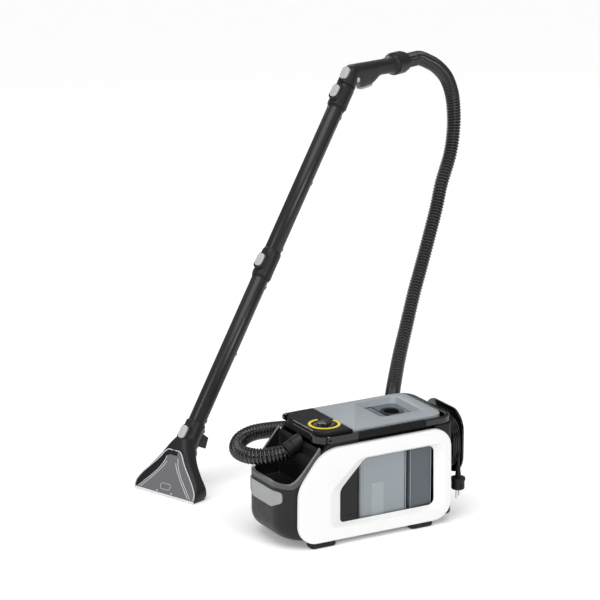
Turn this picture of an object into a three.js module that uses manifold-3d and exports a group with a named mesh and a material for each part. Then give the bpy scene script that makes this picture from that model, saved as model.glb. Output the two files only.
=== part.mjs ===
// Spot carpet cleaner: a low machine with a suction hose and a two-piece cleaning wand.
// Millimetres, +Z up. The machine lies along X, its nose at the low end, and rests on four feet.
// The wand stands on its floor nozzle beside the machine, and the hose joins the two.
import * as THREE from 'three';
import { mergeVertices } from 'three/addons/utils/BufferGeometryUtils.js';
import Module from 'manifold-3d';

const wasm = await Module();
wasm.setup();

// ---------- driving dimensions ----------
const GAP = 0.3;                       // clearance between pieces that touch
const ORIGIN = { x: 368.28, y: 413.6 }; // centre of the footprint, in machine coordinates

const FOOT = { height: 12, width: 30, inset: 5, frontX: [66, 129], rearX: [323, 381] };
const BODY = { width: 217, panel: 14, bottom: 16, top: 233 };
const SIDE = { near: BODY.panel + GAP, far: BODY.width - BODY.panel - GAP };
const NOSE = { back: 187, corner: 55, wall: 6, floor: 112, wallBack: 93 };
const RIM = { level: 151, bend: 28, topX: 92, topZ: 228, band: 10 };
const BADGE = { low: 97, high: 134, near: 38, far: 179, thick: 2 };
const TANK = { bottom: 30, top: 225, wall: 2.5, near: 18.7, far: 198.3, corner: 10 };
const FRESH = { front: 193, back: 317 };
const WASTE = { front: 323, back: 385 };
const REAR = { front: 388, back: 440, corner: 20 };
const DECK = { low: 233.3, head: 250, top: 258, near: 20, far: 197, front: 95, corner: 28, chamfer: 3 };
const LID = { front: 178.3, back: 415, bottom: 240.3 };
const RECESS = { front: 275, back: 382, near: 61, far: 178, floor: 243, corner: 10 };
const INLET = { x: 336, y: 116, radiusX: 22, radiusY: 24 };
const DIAL = { x: 140.5, y: 81.6, ringOuter: 36.5, ringInner: 29.5, knob: 26.5, top: 265, openDeg: 62,
  openAt: 55, turn: 44, gripLength: 22, gripWidth: 13 };
const BAIL = { pivotX: 113, pivotZ: 244.3, hub: 7.7, back: 437, split: 398, width: 9.7, near: 8, low: 236.5,
  high: 252, corner: 34, bar: 13, pin: 3 };
const BUMPER = { ahead: 11, reach: 38 };
const MOTOR = { x: 145, y: 108.5, can: 38, canLow: 40, canHigh: 110.7, housing: 44, fan: 34, shaft: 3.7 };
const HANK = { low: 108, high: 231, near: 28, far: 189, corner: 50, thick: 17.4, front: 445.4, back: 468.6 };
const PLATE = { front: 468.9, back: 474, near: 27, far: 190, low: 94, high: 247, corner: 48 };
const PLUG = {
  x: 459.6, y: 28, top: 95, bottom: 67, radius: 16, relief: 124, pinEnd: 47, pitch: 19, turn: 41,
};
const CORD_RADIUS = 2.8;
const HOSE = { radius: 16.5, bore: 13.5, steps: 90 };
const LOOP = { x: 42, y: 174, radius: 62, heights: [193.5, 190.8, 191, 193.3, 201.5, 207.6] };
const PORT = { wall: new THREE.Vector3(100, 112, 217.5), mouth: new THREE.Vector3(76, 112, 206.5),
  radius: 19.5, cuff: 18.5, cuffLength: 18 };

const WAND = { x: -56.15, y: 481.4, yaw: Math.atan2(0.35, 0.937), lean: Math.atan2(0.611, 0.791) };
const TUBE = { radius: 17.5, bore: 15.5, lower: [178, 600], upper: [612, 1046], sides: 28 };
const NECK = { start: 140, top: 188, radius: 21.5, bore: 17.8 };
const MID = { low: 571, high: 641, radius: 21 };
const COLLAR = { low: 1030, high: 1088, radius: 21.5 };
const SPRAY = { offset: 23.6, radius: 4.2 };
const BUTTON = { length: 32, width: 20, corner: 9, out: 31.5, in: 25, travel: 2.5, boss: 29, bossLength: 42,
  bossWidth: 27, floor: 21.8 };
const NOZZLE = { lean: THREE.MathUtils.degToRad(22), halfWidth: 94, pocket: 18, cover: 2.2, lip: 5 };
const GRIP = { wall: 2.8, height: 887, end: 892.6, cuff: 16.4, cuffEnd: 936 };

// ---------- materials ----------
const finish = (color, roughness, metalness = 0, opacity = 1) => new THREE.MeshStandardMaterial(
  { color, roughness, metalness, opacity, transparent: opacity < 1 });
const WHITE = finish(0xf1f1f0, 0.35);
const BLACK = finish(0x1b1c1d, 0.55);
const GLOSS = finish(0x0b0b0c, 0.12);
const GREY = finish(0xb4bac1, 0.4);
const PALE = finish(0xc9ccce, 0.45);
const SATIN = finish(0x8a8c8e, 0.35, 0.6);
const SILVER = finish(0xc4c6c8, 0.3, 0.8);
const YELLOW = finish(0xf2cf10, 0.35);
const CLEAR = finish(0xaebccb, 0.15, 0, 0.4);
const SMOKE = finish(0x49525a, 0.15, 0, 0.6);
const RUBBER = finish(0x141414, 0.8);
const COPPER = finish(0x9a9da0, 0.3, 0.9);
const TUBING = finish(0x2c2d2f, 0.4);

// ---------- geometry helpers ----------
// A closed mesh as a solid for joining and cutting.
function solid(geometry) {
  const bare = geometry.clone();
  for (const name of Object.keys(bare.attributes)) if (name !== 'position') bare.deleteAttribute(name);
  const merged = mergeVertices(bare, 1e-4);
  return new wasm.Manifold(new wasm.Mesh({
    numProp: 3,
    vertProperties: new Float32Array(merged.attributes.position.array),
    triVerts: new Uint32Array(merged.index.array),
  }));
}

function geometryOf(body) {
  const { vertProperties, triVerts } = body.getMesh();
  const geometry = new THREE.BufferGeometry();
  geometry.setAttribute('position', new THREE.BufferAttribute(vertProperties, 3));
  geometry.setIndex(new THREE.BufferAttribute(triVerts, 1));
  return geometry;
}

const joined = (first, ...rest) => rest.reduce((sum, next) => sum.add(next), first);
const cut = (first, ...rest) => rest.reduce((left, next) => left.subtract(next), first);

// A solid through a row of rings with equal point counts, closed by a flat cap at each end.
function loft(rings) {
  const count = rings[0].length;
  const points = rings.flat();
  const faces = [];
  for (let ring = 0; ring + 1 < rings.length; ring++) {
    for (let i = 0; i < count; i++) {
      const a = ring * count + i;
      const b = ring * count + (i + 1) % count;
      faces.push([a, b, b + count], [a, b + count, a + count]);
    }
  }
  const capFaces = (ring) => {
    const normal = new THREE.Vector3();
    ring.forEach((p, i) => normal.add(p.clone().cross(ring[(i + 1) % count])));
    const across = new THREE.Vector3().subVectors(ring[1], ring[0]).normalize();
    const up = normal.normalize().clone().cross(across);
    return THREE.ShapeUtils.triangulateShape(
      ring.map((p) => new THREE.Vector2(p.dot(across), p.dot(up))), []);
  };
  const last = (rings.length - 1) * count;
  for (const [a, b, c] of capFaces(rings[0])) faces.push([c, b, a]);
  for (const [a, b, c] of capFaces(rings.at(-1))) faces.push([last + a, last + b, last + c]);
  const volume = faces.reduce((sum, [a, b, c]) =>
    sum + points[a].dot(points[b].clone().cross(points[c])), 0);
  const order = volume > 0 ? faces : faces.map(([a, b, c]) => [a, c, b]);
  const geometry = new THREE.BufferGeometry();
  geometry.setAttribute('position', new THREE.Float32BufferAttribute(
    points.flatMap((p) => [p.x, p.y, p.z]), 3));
  geometry.setIndex(order.flat());
  return solid(geometry);
}

// A polygon's corners [x, y, radius] turned into points with round corners.
function rounded(corners, arcSteps = 6) {
  const points = [];
  corners.forEach(([x, y, radius], i) => {
    const here = new THREE.Vector2(x, y);
    const before = new THREE.Vector2(...corners.at(i - 1).slice(0, 2)).sub(here).normalize();
    const after = new THREE.Vector2(...corners[(i + 1) % corners.length].slice(0, 2)).sub(here).normalize();
    const half = Math.acos(THREE.MathUtils.clamp(before.dot(after), -1, 1)) / 2;
    const reach = radius / Math.tan(half);
    const centre = here.clone().add(before.clone().add(after).normalize()
      .multiplyScalar(radius / Math.sin(half)));
    const from = here.clone().addScaledVector(before, reach).sub(centre);
    const to = here.clone().addScaledVector(after, reach).sub(centre);
    const sweep = Math.atan2(from.cross(to), from.dot(to));
    for (let step = 0; step <= arcSteps; step++) {
      points.push(from.clone().rotateAround(new THREE.Vector2(), sweep * step / arcSteps).add(centre));
    }
  });
  return points;
}

// Outline points placed on a plane across the named axis.
const placed = {
  x: (p, at) => new THREE.Vector3(at, p.x, p.y),
  y: (p, at) => new THREE.Vector3(p.x, at, p.y),
  z: (p, at) => new THREE.Vector3(p.x, p.y, at),
};
const prism = (axis, outline, from, to) => loft([from, to].map((at) =>
  outline.map((p) => placed[axis](p, at))));
const polygon = (...pairs) => pairs.map(([x, y]) => new THREE.Vector2(x, y));

function box(x0, x1, y0, y1, z0, z1) {
  const geometry = new THREE.BoxGeometry(x1 - x0, y1 - y0, z1 - z0);
  geometry.translate((x0 + x1) / 2, (y0 + y1) / 2, (z0 + z1) / 2);
  return solid(geometry);
}

// A rounded rectangle in plan; each corner's radius can differ from front to back.
const planRect = (x0, x1, y0, y1, frontRadius, backRadius, steps = 6) => rounded([
  [x0, y0, frontRadius], [x1, y0, backRadius], [x1, y1, backRadius], [x0, y1, frontRadius]], steps);

// A round bar between two points, its end radii given.
function bar(from, to, radius, endRadius = radius, sides = 24) {
  const along = new THREE.Vector3().subVectors(to, from);
  const geometry = new THREE.CylinderGeometry(endRadius, radius, along.length(), sides);
  geometry.applyQuaternion(new THREE.Quaternion().setFromUnitVectors(
    new THREE.Vector3(0, 1, 0), along.clone().normalize()));
  geometry.translate(...from.clone().addScaledVector(along, 0.5).toArray());
  return solid(geometry);
}
const v = (x, y, z) => new THREE.Vector3(x, y, z);

// A round section swept along a smooth route, with a bore if one is given.
function swept(route, radius, sides, steps, bore = 0) {
  const circle = (size) => Array.from({ length: sides }, (_, i) =>
    new THREE.Vector2(size, 0).rotateAround(new THREE.Vector2(), 2 * Math.PI * i / sides));
  const section = new THREE.Shape(circle(radius));
  if (bore) section.holes.push(new THREE.Path(circle(bore)));
  return solid(new THREE.ExtrudeGeometry(section, {
    steps, bevelEnabled: false, extrudePath: new THREE.CatmullRomCurve3(route) }));
}

// A rounded plate in plan whose upper edge is chamfered.
function chamferedPlate(outlineAt, low, high, chamfer) {
  return loft([[0, low], [0, high - chamfer], [chamfer, high]].map(([inset, at]) =>
    outlineAt(inset).map((p) => placed.z(p, at))));
}

// ---------- groups and meshes ----------
const group = new THREE.Group();
const machine = new THREE.Group();
machine.position.set(-ORIGIN.x, -ORIGIN.y, 0);
const wand = new THREE.Group();
wand.position.set(WAND.x, WAND.y, 0);
wand.rotation.z = WAND.yaw;
const shaft = new THREE.Group();   // its +Z runs up the tubes and its +X faces down behind them
shaft.rotation.y = WAND.lean;
wand.add(shaft);
machine.add(wand);
group.add(machine);

function add(parent, name, body, material) {
  const mesh = new THREE.Mesh(geometryOf(body), material);
  mesh.name = name;
  parent.add(mesh);
}

// ---------- feet and tank cradle ----------
function feet() {
  const sides = { near: [FOOT.inset, FOOT.inset + FOOT.width],
    far: [BODY.width - FOOT.inset - FOOT.width, BODY.width - FOOT.inset] };
  const ends = { front: FOOT.frontX, rear: FOOT.rearX };
  for (const [end, [x0, x1]] of Object.entries(ends)) {
    for (const [side, [y0, y1]] of Object.entries(sides)) {
      const outline = (inset) => planRect(x0 + inset, x1 - inset, y0 + inset, y1 - inset, 8, 8, 3);
      add(machine, `foot_${end}_${side}`, loft([[2, 0], [0, 3], [0, FOOT.height - GAP]].map(
        ([inset, at]) => outline(inset).map((p) => placed.z(p, at)))), RUBBER);
    }
  }
}

function cradle() {
  const low = FOOT.height + 2;
  const tray = box(NOSE.back + GAP, REAR.front - GAP, SIDE.near, SIDE.far, low, TANK.bottom - GAP);
  const under = box(NOSE.back + 12, REAR.front - 12, SIDE.near + 12, SIDE.far - 12, low - 1, low + 8);
  const bulkhead = box(NOSE.back + GAP, NOSE.back + 3.3, SIDE.near, SIDE.far, low, 224);
  add(machine, 'tank_cradle', joined(cut(tray, under), bulkhead), BLACK);
}

// ---------- side panels ----------
const PANEL_OUTLINE = [[33, 13, 45], [34, 142, 70], [98, 226.5, 80], [424, 227.5, 46], [427, 12, 45]];
const WINDOW_INNER = [[142, 48, 9], [142, 124, 26], [205, 187.5, 26], [384, 187.5, 14], [386, 48, 14]];
const WINDOW_OUTER = [[110.5, 40, 22], [110.5, 128, 30], [186, 195.5, 40], [403, 195.5, 18], [406, 40, 20]];

function insetCorners(corners, inset) {
  const middle = [230, 120];
  return corners.map(([x, z, radius]) => [x - Math.sign(x - middle[0]) * inset,
    z - Math.sign(z - middle[1]) * inset, Math.max(radius - inset, 1)]);
}

function sidePanel(name, face, depth) {
  const outline = (inset) => rounded(insetCorners(PANEL_OUTLINE, inset), 7);
  const shell = loft([[0, 1], [0, 0.22], [3, 0]].map(([inset, share]) =>
    outline(inset).map((p) => placed.y(p, face + depth * share))));
  const window = loft([[WINDOW_OUTER, -0.05], [WINDOW_INNER, 1.05]].map(([corners, share]) =>
    rounded(corners, 5).map((p) => placed.y(p, face + depth * share))));
  add(machine, name, cut(shell, window), WHITE);
}

// ---------- nose with hose dock ----------
const nosePlan = (grow) => planRect(-grow, NOSE.back, SIDE.near - grow, SIDE.far + grow, NOSE.corner + grow,
  0.5, 9);

function rimProfile(drop) {
  const slope = Math.atan2(RIM.topZ - RIM.level, RIM.topX - RIM.bend);
  const slide = drop * Math.tan(slope / 2);
  const run = 2 * NOSE.wall;
  return [
    [-run, RIM.level - drop],
    [RIM.bend + slide, RIM.level - drop],
    [RIM.topX + run * Math.cos(slope) + drop * Math.sin(slope),
      RIM.topZ + run * Math.sin(slope) - drop * Math.cos(slope)],
  ];
}

function nose() {
  const side = rounded([[0, BODY.bottom, 42], [0, 300, 1], [NOSE.back, 300, 1],
    [NOSE.back, BODY.bottom, 1]], 7);
  const body = prism('z', nosePlan(0), BODY.bottom, BODY.top)
    .intersect(prism('y', side, SIDE.near - 1, SIDE.far + 1));
  const dock = prism('z', planRect(NOSE.wall + 2, NOSE.wallBack, SIDE.near + NOSE.wall, SIDE.far - NOSE.wall,
    NOSE.corner - NOSE.wall, 6, 6), NOSE.floor + 6, 300);
  const ahead = -20;
  const above = (profile) => prism('y', polygon(...profile, [profile[2][0], 320], [ahead, 320],
    [ahead, profile[0][1]]), -10, BODY.width + 10);
  const inside = joined(
    prism('z', planRect(NOSE.wall + 4, NOSE.back + 1, SIDE.near + NOSE.wall, SIDE.far - NOSE.wall,
      NOSE.corner - NOSE.wall, 0.5), BODY.bottom + 8, NOSE.floor),
    box(NOSE.wallBack + NOSE.wall, NOSE.back + 1, SIDE.near + NOSE.wall, SIDE.far - NOSE.wall,
      BODY.bottom + 8, BODY.top - 5));
  const nozzleCut = box(NOSE.wall + 4, 40, -5, BODY.width + 5, 0, BODY.bottom + 30)
    .intersect(prism('y', rounded([[NOSE.wall, BODY.bottom + NOSE.wall, 34], [NOSE.wall, 200, 1],
      [NOSE.back, 200, 1], [NOSE.back, BODY.bottom + NOSE.wall, 1]], 7), -5, BODY.width + 5));
  const cavity = cut(inside, cut(box(NOSE.wall + 3, 40, -5, BODY.width + 5, 0, BODY.bottom + 30), nozzleCut));
  add(machine, 'front_housing', cut(body, dock, cavity, above(rimProfile(RIM.band))), BLACK);

  const ring = cut(prism('z', nosePlan(0), BODY.bottom, BODY.top - GAP),
    dock, box(RIM.topX, 300, -5, BODY.width + 5, 0, 320));
  const band = cut(ring.intersect(above(rimProfile(RIM.band - GAP))), above(rimProfile(0)));
  add(machine, 'dock_trim_band', band, SATIN);
}

function badge() {
  const { low, high, near, far, thick } = BADGE;
  const face = prism('x', rounded([[near, low + 12, 8], [near + 30, low - 2, 30], [far - 30, low - 2, 30],
    [far, low + 12, 8], [far, high, 8], [near, high, 8]], 5), -20, 60);
  const skin = cut(prism('z', nosePlan(GAP + thick), low - 10, high + 10),
    prism('z', nosePlan(GAP), low - 11, high + 11));
  add(machine, 'badge_plate', skin.intersect(face), SILVER);
}

// ---------- drive inside the nose ----------
function drive() {
  const { x, y } = MOTOR;
  const shaftHole = bar(v(x, y, 98), v(x, y, 200), MOTOR.shaft + 0.8);
  const can = bar(v(x, y, MOTOR.canLow), v(x, y, MOTOR.canHigh), MOTOR.can);
  add(machine, 'motor_can', cut(can, shaftHole), COPPER);
  const cup = cut(bar(v(x, y, MOTOR.canHigh + GAP), v(x, y, 150), MOTOR.housing - 2),
    bar(v(x, y, 116), v(x, y, 151), MOTOR.housing - 6), shaftHole);
  add(machine, 'fan_housing', cup, BLACK);
  const blades = Array.from({ length: 8 }, (_, i) => {
    const geometry = new THREE.BoxGeometry(MOTOR.fan - 10, 2, 12);
    geometry.translate(MOTOR.fan / 2 + 3, 0, 126);
    geometry.rotateZ(2 * Math.PI * i / 8);
    geometry.translate(x, y, 0);
    return solid(geometry);
  });
  const disc = bar(v(x, y, 118), v(x, y, 121), MOTOR.fan);
  const hub = bar(v(x, y, 118), v(x, y, 134), 10);
  const axle = bar(v(x, y, 99), v(x, y, 137), MOTOR.shaft, MOTOR.shaft, 16);
  add(machine, 'turbine_fan', joined(disc, hub, axle, ...blades), PALE);
  const pumpTop = bar(v(63, 109, 60), v(63, 109, 92), 17);
  add(machine, 'spray_pump', joined(box(42, 84, 86, 132, 32, 62), pumpTop), BLACK);
  add(machine, 'switch_box', box(128, 163, 64, 99, 196, 227), BLACK);
}

// ---------- rear housing, cord rack, cord and plug ----------
const hankRing = (inset, steps = 8) => rounded([[HANK.near + inset, HANK.low + inset, HANK.corner - inset],
  [HANK.far - inset, HANK.low + inset, HANK.corner - inset],
  [HANK.far - inset, HANK.high - inset, HANK.corner - inset],
  [HANK.near + inset, HANK.high - inset, HANK.corner - inset]], steps);

function rear() {
  const shell = cut(prism('z', planRect(REAR.front, REAR.back, SIDE.near, SIDE.far, 0.5, REAR.corner),
    BODY.bottom, BODY.top), box(REAR.front - 1, REAR.back - 5, SIDE.near + 8, SIDE.far - 8, BODY.bottom + 5,
    BODY.top - 5));
  add(machine, 'rear_housing', shell, BLACK);
  add(machine, 'rear_deck', prism('z', planRect(LID.back + 3, REAR.back + 4, 26, 191, 1, 22),
    BODY.top + GAP, BAIL.low - GAP), BLACK);
  const core = rounded([[56, 136, 30], [161, 136, 30], [161, 203, 30], [56, 203, 30]], 4);
  add(machine, 'cord_rack_core', prism('x', core, REAR.back + GAP, PLATE.front - GAP), BLACK);
  add(machine, 'cord_rack_plate', prism('x', rounded([[PLATE.near, PLATE.low, PLATE.corner],
    [PLATE.far, PLATE.low, PLATE.corner], [PLATE.far, PLATE.high, PLATE.corner],
    [PLATE.near, PLATE.high, PLATE.corner]], 5), PLATE.front, PLATE.back), BLACK);
  add(machine, 'cord_gland', joined(box(REAR.back + GAP, 459, 96, 116, 72, 88),
    bar(v(450, 115, 80), v(450, 137, 80), 7, 4.6, 16)), RUBBER);
}

function cord() {
  add(machine, 'mains_cord_hank', cut(prism('x', hankRing(0), HANK.front, HANK.back),
    prism('x', hankRing(HANK.thick), HANK.front - 1, HANK.back + 1)), RUBBER);
  const fromGland = [v(450, 137.3, 80), v(450, 147, 80), v(450, 156.5, 81), v(450, 165.5, 84),
    v(450, 173.8, 89), v(450, 181, 96), v(450, 186.7, 104.5), v(450, 190.5, 114), v(450, 192.2, 124),
    v(450, 192.3, 134)];
  add(machine, 'mains_cord_to_gland', swept(fromGland, CORD_RADIUS, 8, 16), RUBBER);
  const { x, y, top, bottom, radius } = PLUG;
  const toPlug = [v(x, 27, 142), v(x, 27.5, 136), v(x, 28, 130), v(x, 28, PLUG.relief + 2 * GAP)];
  add(machine, 'mains_cord_to_plug', swept(toPlug, CORD_RADIUS, 8, 4), RUBBER);
  const turn = THREE.MathUtils.degToRad(PLUG.turn);
  const pins = [-1, 1].map((side) => {
    const px = x + side * Math.cos(turn) * PLUG.pitch / 2;
    const py = y + side * Math.sin(turn) * PLUG.pitch / 2;
    return bar(v(px, py, PLUG.pinEnd), v(px, py, bottom + 2), 2.4, 2.4, 12);
  });
  add(machine, 'mains_plug', joined(bar(v(x, y, bottom), v(x, y, top - 7), radius - 0.8),
    bar(v(x, y, top - 8), v(x, y, top), radius + 0.8),
    bar(v(x, y, top - 1), v(x, y, PLUG.relief), 7, 4.6, 16),
    ...pins), RUBBER);
}

// ---------- deck: control head, dial, tank lid ----------
// Bands that wrap the control head's two front corners, in line with the carry handle's arms.
function bumper() {
  const { near, low, high, corner, pivotX, hub } = BAIL;
  const band = prism('z', planRect(DECK.front - BUMPER.ahead, 300, near, BODY.width - near, corner + 6, 1, 7),
    low, high);
  const within = (grow, from, to) => prism('z', planRect(DECK.front - grow, 301, DECK.near - grow,
    DECK.far + grow, DECK.corner, 1), from, to);
  const back = pivotX - hub - GAP;
  return cut(band, within(-1, low - 1, DECK.head - 0.5), within(GAP, DECK.head - 1, high + 1),
    box(back, 310, -5, BODY.width + 5, low - 1, high + 1),
    box(0, back, near + BUMPER.reach, BODY.width - near - BUMPER.reach, low - 1, high + 1));
}

function deck() {
  const headPlan = (inset) => planRect(DECK.front + inset, LID.front - 2 * GAP, DECK.near + inset,
    DECK.far - inset, DECK.corner, 0.5);
  const stem = bar(v(DIAL.x, DIAL.y, 225), v(DIAL.x, DIAL.y, 270), 6.5);
  const head = cut(prism('z', headPlan(0), DECK.low, DECK.head),
    prism('z', planRect(DECK.front + 5, LID.front - 5, DECK.near + 5, DECK.far - 5, 23, 1),
      DECK.low - 1, DECK.head - 4), stem);
  const pinEnds = [[BAIL.near + 0.5, DECK.near + 2], [DECK.far - 2, BODY.width - BAIL.near - 0.5]];
  const pins = pinEnds.map(([y0, y1]) =>
    bar(v(BAIL.pivotX, y0, BAIL.pivotZ), v(BAIL.pivotX, y1, BAIL.pivotZ), BAIL.pin, BAIL.pin, 16));
  add(machine, 'control_head', joined(head, bumper(), ...pins), BLACK);
  const well = bar(v(DIAL.x, DIAL.y, DECK.top - 6), v(DIAL.x, DIAL.y, 270), DIAL.ringInner - 2,
    DIAL.ringInner - 2, 36);
  const groove = cut(bar(v(DIAL.x, DIAL.y, DECK.top - 1.2), v(DIAL.x, DIAL.y, 270), DIAL.ringOuter + 0.5,
    DIAL.ringOuter + 0.5, 40), bar(v(DIAL.x, DIAL.y, DECK.top - 2), v(DIAL.x, DIAL.y, 271),
    DIAL.ringInner - 0.6, DIAL.ringInner - 0.6, 36));
  const panel = chamferedPlate((inset) => planRect(DECK.front + inset, LID.front - 2 * GAP, DECK.near + inset,
    DECK.far - inset, DECK.corner - inset, 0.5), DECK.head + GAP, DECK.top, DECK.chamfer);
  add(machine, 'control_panel', cut(panel, well, groove, stem), BLACK);

  const half = THREE.MathUtils.degToRad(DIAL.openDeg / 2);
  const opening = THREE.MathUtils.degToRad(DIAL.openAt);
  const arc = (radius, from, to, steps) => Array.from({ length: steps + 1 }, (_, i) => {
    const angle = from + (to - from) * i / steps;
    return new THREE.Vector2(DIAL.x + radius * Math.cos(angle), DIAL.y + radius * Math.sin(angle));
  });
  const start = opening + half;
  const end = opening - half + 2 * Math.PI;
  add(machine, 'dial_ring', prism('z', [...arc(DIAL.ringOuter, start, end, 30),
    ...arc(DIAL.ringInner, end, start, 30)], DECK.top - 0.9, DECK.top + 0.7), YELLOW);
  const { gripLength, gripWidth } = DIAL;
  const gripAt = (inset) => planRect(inset - gripLength, gripLength - inset, inset - gripWidth,
    gripWidth - inset, 9, 9, 4).map((p) => p
    .rotateAround(new THREE.Vector2(), THREE.MathUtils.degToRad(DIAL.turn))
    .add(new THREE.Vector2(DIAL.x, DIAL.y)));
  const knob = joined(
    bar(v(DIAL.x, DIAL.y, DECK.top - 5.5), v(DIAL.x, DIAL.y, DECK.top + 1), DIAL.knob, DIAL.knob - 0.8, 36),
    loft([[0, DECK.top], [0.5, DIAL.top - 3], [3, DIAL.top]].map(([inset, at]) => gripAt(inset)
      .map((p) => placed.z(p, at)))),
    bar(v(DIAL.x, DIAL.y, DECK.low + 1), v(DIAL.x, DIAL.y, DECK.top - 5), 5, 5, 16));
  add(machine, 'power_dial', knob, GLOSS);
}

function lid() {
  const plan = (inset) => planRect(LID.front, LID.back - inset, DECK.near + inset, DECK.far - inset, 0.5,
    DECK.corner - inset);
  const pit = loft([[6, RECESS.floor], [0, DECK.top + 1]].map(([inset, at]) => planRect(RECESS.front + inset,
    RECESS.back - inset, RECESS.near + inset, RECESS.far - inset, RECESS.corner, RECESS.corner)
    .map((p) => placed.z(p, at))));
  const oval = (grow) => Array.from({ length: 28 }, (_, i) => new THREE.Vector2(
    INLET.x + (INLET.radiusX + grow) * Math.cos(2 * Math.PI * i / 28),
    INLET.y + (INLET.radiusY + grow) * Math.sin(2 * Math.PI * i / 28)));
  add(machine, 'tank_lid', cut(chamferedPlate(plan, LID.bottom, DECK.top, DECK.chamfer), pit,
    prism('z', oval(GAP), 230, 250),
    box(LID.front + 8, RECESS.front - 8, 34, 183, LID.bottom - 1, DECK.top - 5)), GREY);
  add(machine, 'waste_inlet', cut(prism('z', oval(0), LID.bottom - 12, RECESS.floor + 1.5),
    prism('z', oval(-5), LID.bottom - 9, RECESS.floor + 2)), SMOKE);
  const collar = cut(joined(
    prism('z', planRect(190.8, REAR.front - GAP, 24, 193, 1, 1), TANK.top + GAP, DECK.low + 1),
    prism('z', planRect(190.8, LID.back - 1, 24, 193, 1, 24), DECK.low, LID.bottom - GAP)),
    box(INLET.x - INLET.radiusX - 2, INLET.x + INLET.radiusX + 2, INLET.y - INLET.radiusY - 2,
      INLET.y + INLET.radiusY + 2, 220, 250), box(198, 306, 32, 185, TANK.top, LID.bottom - 4));
  add(machine, 'tank_collar', collar, BLACK);
  add(machine, 'recess_pane', cut(box(RECESS.front + 9, INLET.x - 25, RECESS.near + 12, RECESS.far - 12,
    RECESS.floor + GAP, RECESS.floor + 2.3)), CLEAR);
}

function tank(name, { front, back }, material) {
  const outline = (inset) => planRect(front + inset, back - inset, TANK.near + inset, TANK.far - inset,
    TANK.corner - inset, TANK.corner - inset, 4);
  add(machine, name, cut(prism('z', outline(0), TANK.bottom, TANK.top),
    prism('z', outline(TANK.wall), TANK.bottom + 3, TANK.top + 1)), material);
}

function tanks() {
  tank('fresh_tank', FRESH, CLEAR);
  tank('waste_tank', WASTE, SMOKE);
  add(machine, 'waste_float', bar(v(352, 116, 150), v(352, 116, 176), 14), YELLOW);
}

// ---------- carry handle ----------
function carryHandle() {
  const { pivotX, pivotZ, near, width, back, split, corner, low, high, bar: barWidth } = BAIL;
  const far = BODY.width - near;
  const outer = planRect(pivotX, back, near, far, 0.5, corner, 7);
  const inner = planRect(pivotX - 1, back - barWidth, near + width, far - width, 0.5, corner - 12, 7);
  const bail = cut(prism('z', outer, low, high), prism('z', inner, low - 1, high + 1));
  add(machine, 'carry_handle', cut(bail, box(0, split + GAP, 0, BODY.width, low - 1, high + 1)), GLOSS);
  for (const [side, y0] of Object.entries({ near, far: far - width })) {
    const y1 = y0 + width;
    const hub = bar(v(pivotX, y0, pivotZ), v(pivotX, y1, pivotZ), BAIL.hub);
    const bore = BAIL.pin + GAP;
    const hole = bar(v(pivotX, y0 - 1, pivotZ), v(pivotX, y1 + 1, pivotZ), bore, bore, 16);
    add(machine, `handle_arm_${side}`, cut(joined(box(pivotX, split, y0, y1, low, high), hub), hole), BLACK);
  }
}

// ---------- suction hose ----------
const portAlong = new THREE.Vector3().subVectors(PORT.mouth, PORT.wall).normalize();
const wandPoint = (along, height) => v(WAND.x + along * Math.cos(WAND.yaw),
  WAND.y + along * Math.sin(WAND.yaw), height);

function hose() {
  const { wall, mouth, radius, cuff, cuffLength } = PORT;
  add(machine, 'hose_port', cut(bar(wall, mouth, radius, radius - 0.5),
    box(NOSE.wallBack - GAP, 140, 60, 160, 150, 260)), BLACK);
  const cuffStart = mouth.clone().addScaledVector(portAlong, GAP);
  const cuffEnd = cuffStart.clone().addScaledVector(portAlong, cuffLength);
  add(machine, 'hose_cuff_machine', bar(cuffStart, cuffEnd, cuff, cuff - 1), RUBBER);
  // Round the nose in a loop, down behind the machine to the floor, and up to the wand's grip.
  const loop = LOOP.heights.map((height, i) => {
    const angle = Math.PI * (i + 1) / LOOP.heights.length;
    return v(LOOP.x - LOOP.radius * Math.sin(angle), LOOP.y - LOOP.radius * Math.cos(angle), height);
  });
  const route = [
    cuffEnd.clone().addScaledVector(portAlong, GAP), cuffEnd.clone().addScaledVector(portAlong, 8),
    v(40, 112.3, 195), ...loop,
    v(59, 237.2, 208.3), v(85, 238.6, 207), v(113, 240, 204.6), v(141, 241.8, 201), v(171, 243.8, 194.5),
    v(205, 246, 180), v(233, 249, 153), v(252, 253, 124), v(270, 258, 94), v(292, 266, 64), v(322, 279, 37.5),
    v(358, 298, 21.5), v(396, 324, 17), v(432, 356, 17), v(464, 392, 17), v(494, 430, 17), v(524, 470, 17),
    v(556, 510, 19), v(590, 552, 27), v(626, 598, 42), v(664, 650, 64), v(702, 700, 90.5), v(745, 744, 150),
    v(784, 775, 215), v(818, 798, 283), v(853, 817, 352.5), v(885, 832, 423.5), v(911, 842, 490),
    v(928, 848, 545),
    wandPoint(1088, 620), wandPoint(1100, 680), wandPoint(1100, 727), wandPoint(1091, 775),
    wandPoint(1066, 820), wandPoint(1024, 855), wandPoint(986, 874), wandPoint(GRIP.cuffEnd + 24, 884.5),
    wandPoint(GRIP.cuffEnd + 10, GRIP.height), wandPoint(GRIP.cuffEnd + GAP, GRIP.height),
  ];
  add(machine, 'suction_hose', swept(route, HOSE.radius, 8, HOSE.steps, HOSE.bore), RUBBER);
}

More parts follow.
